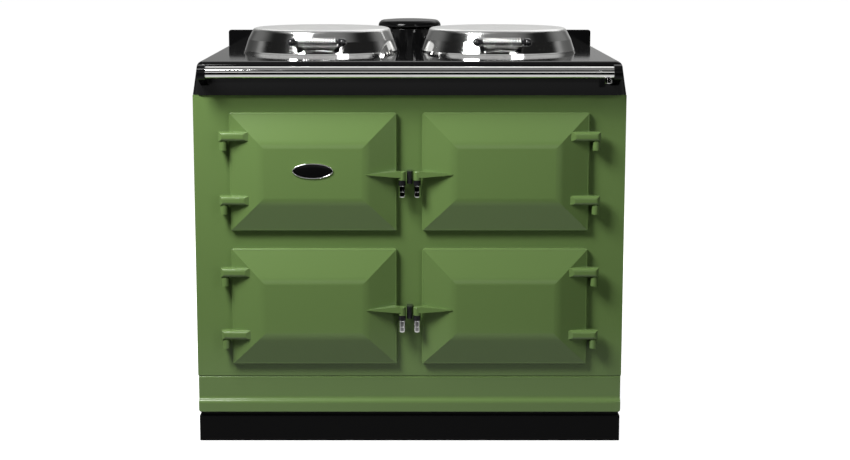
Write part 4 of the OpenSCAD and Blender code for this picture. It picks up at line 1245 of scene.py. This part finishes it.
@dataclass
class Controls(SubAssembly):
    """The fascia behind the upper left door, with its knobs, prints and pilot lamp."""

    centre_x: float = -COLUMN_X
    centre_z: float = UPPER_ROW
    fascia_y: float = -241.5
    pitch: float = 90.0
    knobs: tuple[str, ...] = ("roasting_knob", "simmering_knob", "baking_knob")
    knob_front: float = 20.3
    tick_r: float = 21.5
    tick: tuple[float, float] = (0.8, 3.4)
    number_r: float = 29.0
    number_size: float = 7.0
    ink: float = 0.07
    marks: int = 7
    sweep: float = 270.0
    screw_at: tuple[float, float] = (160.0, 112.0)
    lamp_z: float = 62.0
    lamp_r: float = 5.0

    def dress(self) -> None:
        """Brush the fascia and blacken the knobs."""
        ZINC.on("control_box")
        FASCIA.on("control_panel")
        RESIN.on(*self.knobs)

    def bar(self, name: str, wide: float, long: float, thick: float) -> bpy.types.Object:
        """Model one printed bar with eased corners, face up, its foot at the origin.

        Args:
            name: The piece's name.
            wide: Width.
            long: Length.
            thick: Thickness of the ink.

        Returns:
            The piece.
        """
        piece = Bench.add(name, bpy.ops.mesh.primitive_plane_add, size=1.0, location=(0, long / 2 * MM, 0))
        piece.scale = (wide * MM, long * MM, 1.0)
        Bench.settle(piece)
        Bench.hold(piece, editing=True)
        Bench.round_corners(wide * 0.3 * MM, 3)
        Bench.slide((0, 0, thick * MM))
        Bench.tidy(piece)
        return piece

    def around(self, x: float, reach: float, angle: float, proud: float = 0.0) -> tuple[float, float, float]:
        """Give a point of a dial.

        Args:
            x: The knob's place across the cooker.
            reach: How far the point lies from the knob's centre.
            angle: Its angle, clockwise from the top.
            proud: How far it stands off the fascia.

        Returns:
            The point, in millimetres.
        """
        return x + reach * math.sin(angle), self.fascia_y - proud, self.centre_z + reach * math.cos(angle)

    def dial(self, knob: str, x: float) -> None:
        """Print the ticks and numbers round one knob.

        Args:
            knob: The knob's name.
            x: The knob's place across the cooker.
        """
        tick = self.bar("tick_pattern", *self.tick, 0.15)
        angles = [math.radians(self.sweep * (i / (self.marks - 1) - 0.5)) for i in range(self.marks)]
        ticks = Bench.copies(tick, f"{knob}_ticks", [
            (self.around(x, self.tick_r, angle), (Facing.FRONT.value, angle, 0.0)) for angle in angles])
        Bench.scrap(tick)
        numbers = []
        for i, angle in enumerate(angles):
            text = Bench.add(f"{knob}_number_{i}", bpy.ops.object.text_add)
            text.data.body = str(i)
            text.data.size = self.number_size * MM
            text.data.extrude = self.ink * MM
            text.data.resolution_u = 3
            text.data.align_x, text.data.align_y = "CENTER", "CENTER"
            Bench.hold(text)
            bpy.ops.object.convert(target="MESH")
            Bench.seat(text, self.around(x, self.number_r, angle, self.ink), TO_FRONT)
            numbers.append(text)
        Bench.clear()
        for piece in (*numbers, ticks):
            piece.select_set(True)
        bpy.context.view_layer.objects.active = ticks
        bpy.ops.object.join()
        ticks.name = ticks.data.name = f"{knob}_dial_print"
        Bench.tidy(ticks)
        fit(ticks, "range", INK)

    def lamp(self) -> None:
        """Model the pilot lamp: a domed lens in a bright bezel."""
        lens = Bench.add("pilot_lamp_lens", bpy.ops.mesh.primitive_uv_sphere_add, segments=32, ring_count=16,
                         radius=self.lamp_r * MM)
        Bench.hold(lens, editing=True)
        bpy.ops.mesh.bisect(plane_co=(0, 0, 0), plane_no=(0, 0, 1), clear_inner=True, use_fill=True)
        bpy.ops.mesh.select_all(action="SELECT")
        bpy.ops.transform.resize(value=(1.0, 1.0, 0.6))
        Bench.tidy(lens, 60.0)
        height = self.centre_z + self.lamp_z
        Bench.seat(lens, (self.centre_x, self.fascia_y - 0.8, height), TO_FRONT)
        fit(lens, "range", AMBER)
        bezel = Bench.add("pilot_lamp_bezel", bpy.ops.mesh.primitive_torus_add, major_segments=48,
                          minor_segments=14, major_radius=(self.lamp_r + 0.9) * MM, minor_radius=1.3 * MM)
        Bench.hold(bezel, editing=True)
        bpy.ops.mesh.bisect(plane_co=(0, 0, -0.2 * MM), plane_no=(0, 0, 1), clear_inner=True, use_fill=False)
        Bench.mark("EDGE", "DESELECT")
        bpy.ops.mesh.select_non_manifold()
        bpy.ops.mesh.bridge_edge_loops()
        Bench.tidy(bezel, 50.0)
        Bench.seat(bezel, (self.centre_x, self.fascia_y - 0.2, height), TO_FRONT)
        fit(bezel, "range", RIM_STEEL)

    def build(self) -> None:
        """Print the dials, set the pointers, the lamp and the screws."""
        for i, knob in enumerate(self.knobs):
            x = self.centre_x + (i - 1) * self.pitch
            self.dial(knob, x)
            pointer = self.bar(f"{knob}_pointer", 1.6, 7.0, 0.3)
            Bench.seat(pointer, self.around(x, 3.5, 0.0, self.knob_front), TO_FRONT)
            fit(pointer, knob, WHITE_INK)
        self.lamp()
        across, up = self.screw_at
        PanScrew().row("fascia_screws", "range", Facing.FRONT, [
            (self.centre_x + i * across, self.fascia_y, self.centre_z + j * up)
            for i in (-1, 1) for j in (-1, 1)])


@dataclass
class Supply(SubAssembly):
    """The terminal cover and its gland at the back."""

    cover_face: float = 378.5
    half_w: float = 80.0
    heights: tuple[float, float] = (140.0, 230.0)

    def dress(self) -> None:
        """Finish the cover and the gland."""
        ZINC.on("terminal_cover")
        RESIN.on("cable_gland")

    def build(self) -> None:
        """Screw the cover on."""
        PanScrew(radius=3.2, height=1.6).row("terminal_cover_screws", "range", Facing.BACK, [
            (s * self.half_w, self.cover_face, z) for s in (-1, 1) for z in self.heights])


# Studio


@dataclass(frozen=True)
class SoftBox:
    """One rectangular lamp. Its lengths are in metres."""

    name: str
    place: tuple[float, float, float]
    aim: tuple[float, float, float]
    size: tuple[float, float]
    watts: float
    mirrored: bool = True

    def hang(self) -> None:
        """Hang the lamp and turn it to its aim."""
        Bench.clear()
        turn = (Vector(self.aim) - Vector(self.place)).to_track_quat("-Z", "Y").to_euler()
        bpy.ops.object.light_add(type="AREA", location=self.place, rotation=turn)
        lamp = bpy.context.object
        lamp.name = lamp.data.name = self.name
        lamp.data.shape = "RECTANGLE"
        lamp.data.size, lamp.data.size_y = self.size
        lamp.data.energy = self.watts
        lamp.visible_glossy = self.mirrored


@dataclass
class Studio:
    """Floor, world, lamps and camera. Lengths here are in metres."""

    camera_at: tuple[float, float, float] = (0.0, -3.9155, 1.140)
    tilt: float = 8.56
    focal_px: float = 1597.0
    image_w: float = 850.0
    shift: tuple[float, float] = (0.0181, -0.05)
    near: tuple[float, float] = (0.9, 1.7)
    plain_floor: Colour = (0.16, 0.16, 0.155)
    shadowed_floor: Colour = (0.55, 0.55, 0.55)
    near_white: float = 0.86
    near_mirrored: float = 0.75
    rear_mirrored: float = 0.4
    ambient: float = 0.045
    gloom: float = 0.015
    window_foot: tuple[float, float] = (0.0, 0.06)
    window_head: tuple[float, float] = (0.24, 0.34)
    window_light: float = 0.8
    ceiling: tuple[float, float] = (0.68, 0.8)
    ceiling_light: float = 0.2
    wall: float = 0.27
    wall_right: float = 0.2
    wall_high: float = 0.4
    boxes: tuple[SoftBox, ...] = (
        SoftBox("key_soft_box", (-1.15, -1.38, 2.3), (0.1, -0.3, 0.55), (0.9, 0.9), 88.0),
        SoftBox("fill_soft_box", (1.5, -2.6, 0.95), (0.2, -0.3, 0.4), (0.9, 0.6), 7.0),
        SoftBox("glint_soft_box", (1.15, -2.4, 2.5), (0.0, 0.0, 0.9), (0.35, 0.35), 6.0),
        SoftBox("back_soft_box", (0.6, 2.4, 3.6), (0.0, 0.3, 0.5), (5.0, 3.0), 45.0),
        SoftBox("left_soft_box", (-2.3, 1.5, 1.3), (-0.4, 0.1, 0.45), (1.4, 1.4), 30.0, mirrored=False),
        SoftBox("right_soft_box", (2.3, 1.5, 1.3), (0.4, 0.1, 0.45), (1.4, 1.4), 30.0, mirrored=False),
    )

    def camera(self) -> None:
        """Stand the camera where the photograph was taken from."""
        Bench.clear()
        bpy.ops.object.camera_add(location=self.camera_at, rotation=(math.radians(90.0 - self.tilt), 0, 0))
        camera = bpy.context.object
        camera.name = "photo_camera"
        camera.data.sensor_width = 36.0
        camera.data.lens = self.focal_px / self.image_w * 36.0
        camera.data.shift_x, camera.data.shift_y = self.shift
        bpy.context.scene.camera = camera

    def floor(self) -> None:
        """Lay a pale floor that the camera and bright metal see as white but for the shadow."""
        floor = Bench.add("studio_floor", bpy.ops.mesh.primitive_plane_add, size=60.0)
        material = bpy.data.materials.new("pale_floor")
        material.use_nodes = True
        recipe = Recipe(material.node_tree)
        seen = self.seen(recipe)
        plain = recipe.node("ShaderNodeBsdfDiffuse", {}, {"Color": self.plain_floor}).outputs[0]
        lit = recipe.node("ShaderNodeBsdfDiffuse", {}, {"Color": self.shadowed_floor}).outputs[0]
        camera = Signal(recipe, recipe.node("ShaderNodeLightPath").outputs["Is Camera Ray"])
        x, y, _ = recipe.along(recipe.place())
        far = recipe.radius(x, y).rise(*self.near)
        white = recipe.node("ShaderNodeEmission", {}, {
            "Strength": far * (1.0 - self.near_white) + self.near_white}).outputs[0]
        shown = recipe.node("ShaderNodeAddShader", {}, {0: lit, 1: white}).outputs[0]
        mirrored = recipe.node("ShaderNodeEmission", {}, {
            "Strength": (1.0 - far) * self.near_mirrored + far * y.rise(0.3, 1.0) * self.rear_mirrored}).outputs[0]
        bright = recipe.node("ShaderNodeMixShader", {}, {0: camera, 1: mirrored, 2: shown}).outputs[0]
        mix = recipe.node("ShaderNodeMixShader", {}, {0: seen, 1: plain, 2: bright}).outputs[0]
        recipe.node("ShaderNodeOutputMaterial", {}, {"Surface": mix})
        floor.data.materials.append(material)

    @staticmethod
    def seen(recipe: Recipe) -> Signal:
        """Give 1 for camera, glossy and transmission rays and 0 for the rays that only light things."""
        path = recipe.node("ShaderNodeLightPath").outputs
        camera = Signal(recipe, path["Is Camera Ray"])
        return camera.most(path["Is Glossy Ray"]).most(path["Is Transmission Ray"])

    def world(self) -> None:
        """Hang a white background, with a shaded studio round it for reflections and an even soft light."""
        world = bpy.data.worlds.new("studio_world")
        bpy.context.scene.world = world
        world.use_nodes = True
        recipe = Recipe(world.node_tree)
        across, along, up = recipe.along(recipe.node("ShaderNodeTexCoord").outputs["Generated"])
        behind = along.rise(0.0, 0.5)
        window = up.rise(*self.window_foot) * (1.0 - up.rise(*self.window_head))
        front = self.gloom + window * self.window_light + up.rise(*self.ceiling) * self.ceiling_light
        rear = (self.wall + across.rise(-0.3, 0.3) * self.wall_right + up.rise(0.14, 0.34) * self.wall_high) \
            * (1.0 - abs(across).rise(0.25, 0.55) * 0.75) * (1.0 - up.rise(0.5, 0.7) * 0.85)
        glow = front * (1.0 - behind) + rear * behind
        studio = recipe.node("ShaderNodeCombineColor", {}, {0: glow, 1: glow, 2: glow * 0.99}).outputs[0]
        path = recipe.node("ShaderNodeLightPath").outputs
        mirrored = Signal(recipe, path["Is Glossy Ray"]).most(path["Is Transmission Ray"])
        soft = recipe.mixed(mirrored, (self.ambient,) * 3, studio)
        colour = recipe.mixed(Signal(recipe, path["Is Camera Ray"]), soft, (1.0, 1.0, 1.0))
        background = recipe.node("ShaderNodeBackground", {}, {"Color": colour, "Strength": 1.0}).outputs[0]
        recipe.node("ShaderNodeOutputWorld", {}, {"Surface": background})

    def build(self) -> None:
        """Set the whole studio up."""
        bpy.context.scene.view_settings.view_transform = "Standard"
        self.camera()
        self.floor()
        self.world()
        for box in self.boxes:
            box.hang()


def main() -> None:
    """Build the studio and every sub-assembly in order."""
    logging.basicConfig(level=logging.INFO, format="%(name)s: %(message)s")
    Studio().build()
    doors = [CastDoor("control_door", Side.LEFT, UPPER_ROW), CastDoor("roasting_door", Side.RIGHT, UPPER_ROW),
             CastDoor("baking_door", Side.LEFT, LOWER_ROW), CastDoor("simmering_door", Side.RIGHT, LOWER_ROW)]
    lids = [WoundLid(Side.LEFT), WoundLid(Side.RIGHT)]
    for part in (Carcase(), Hob(), *lids, *doors, Ovens(), Controls(), Supply(), BarePlate()):
        part.dress()
        part.build()
    Bench.clear()


if __name__ == "__main__":
    main()
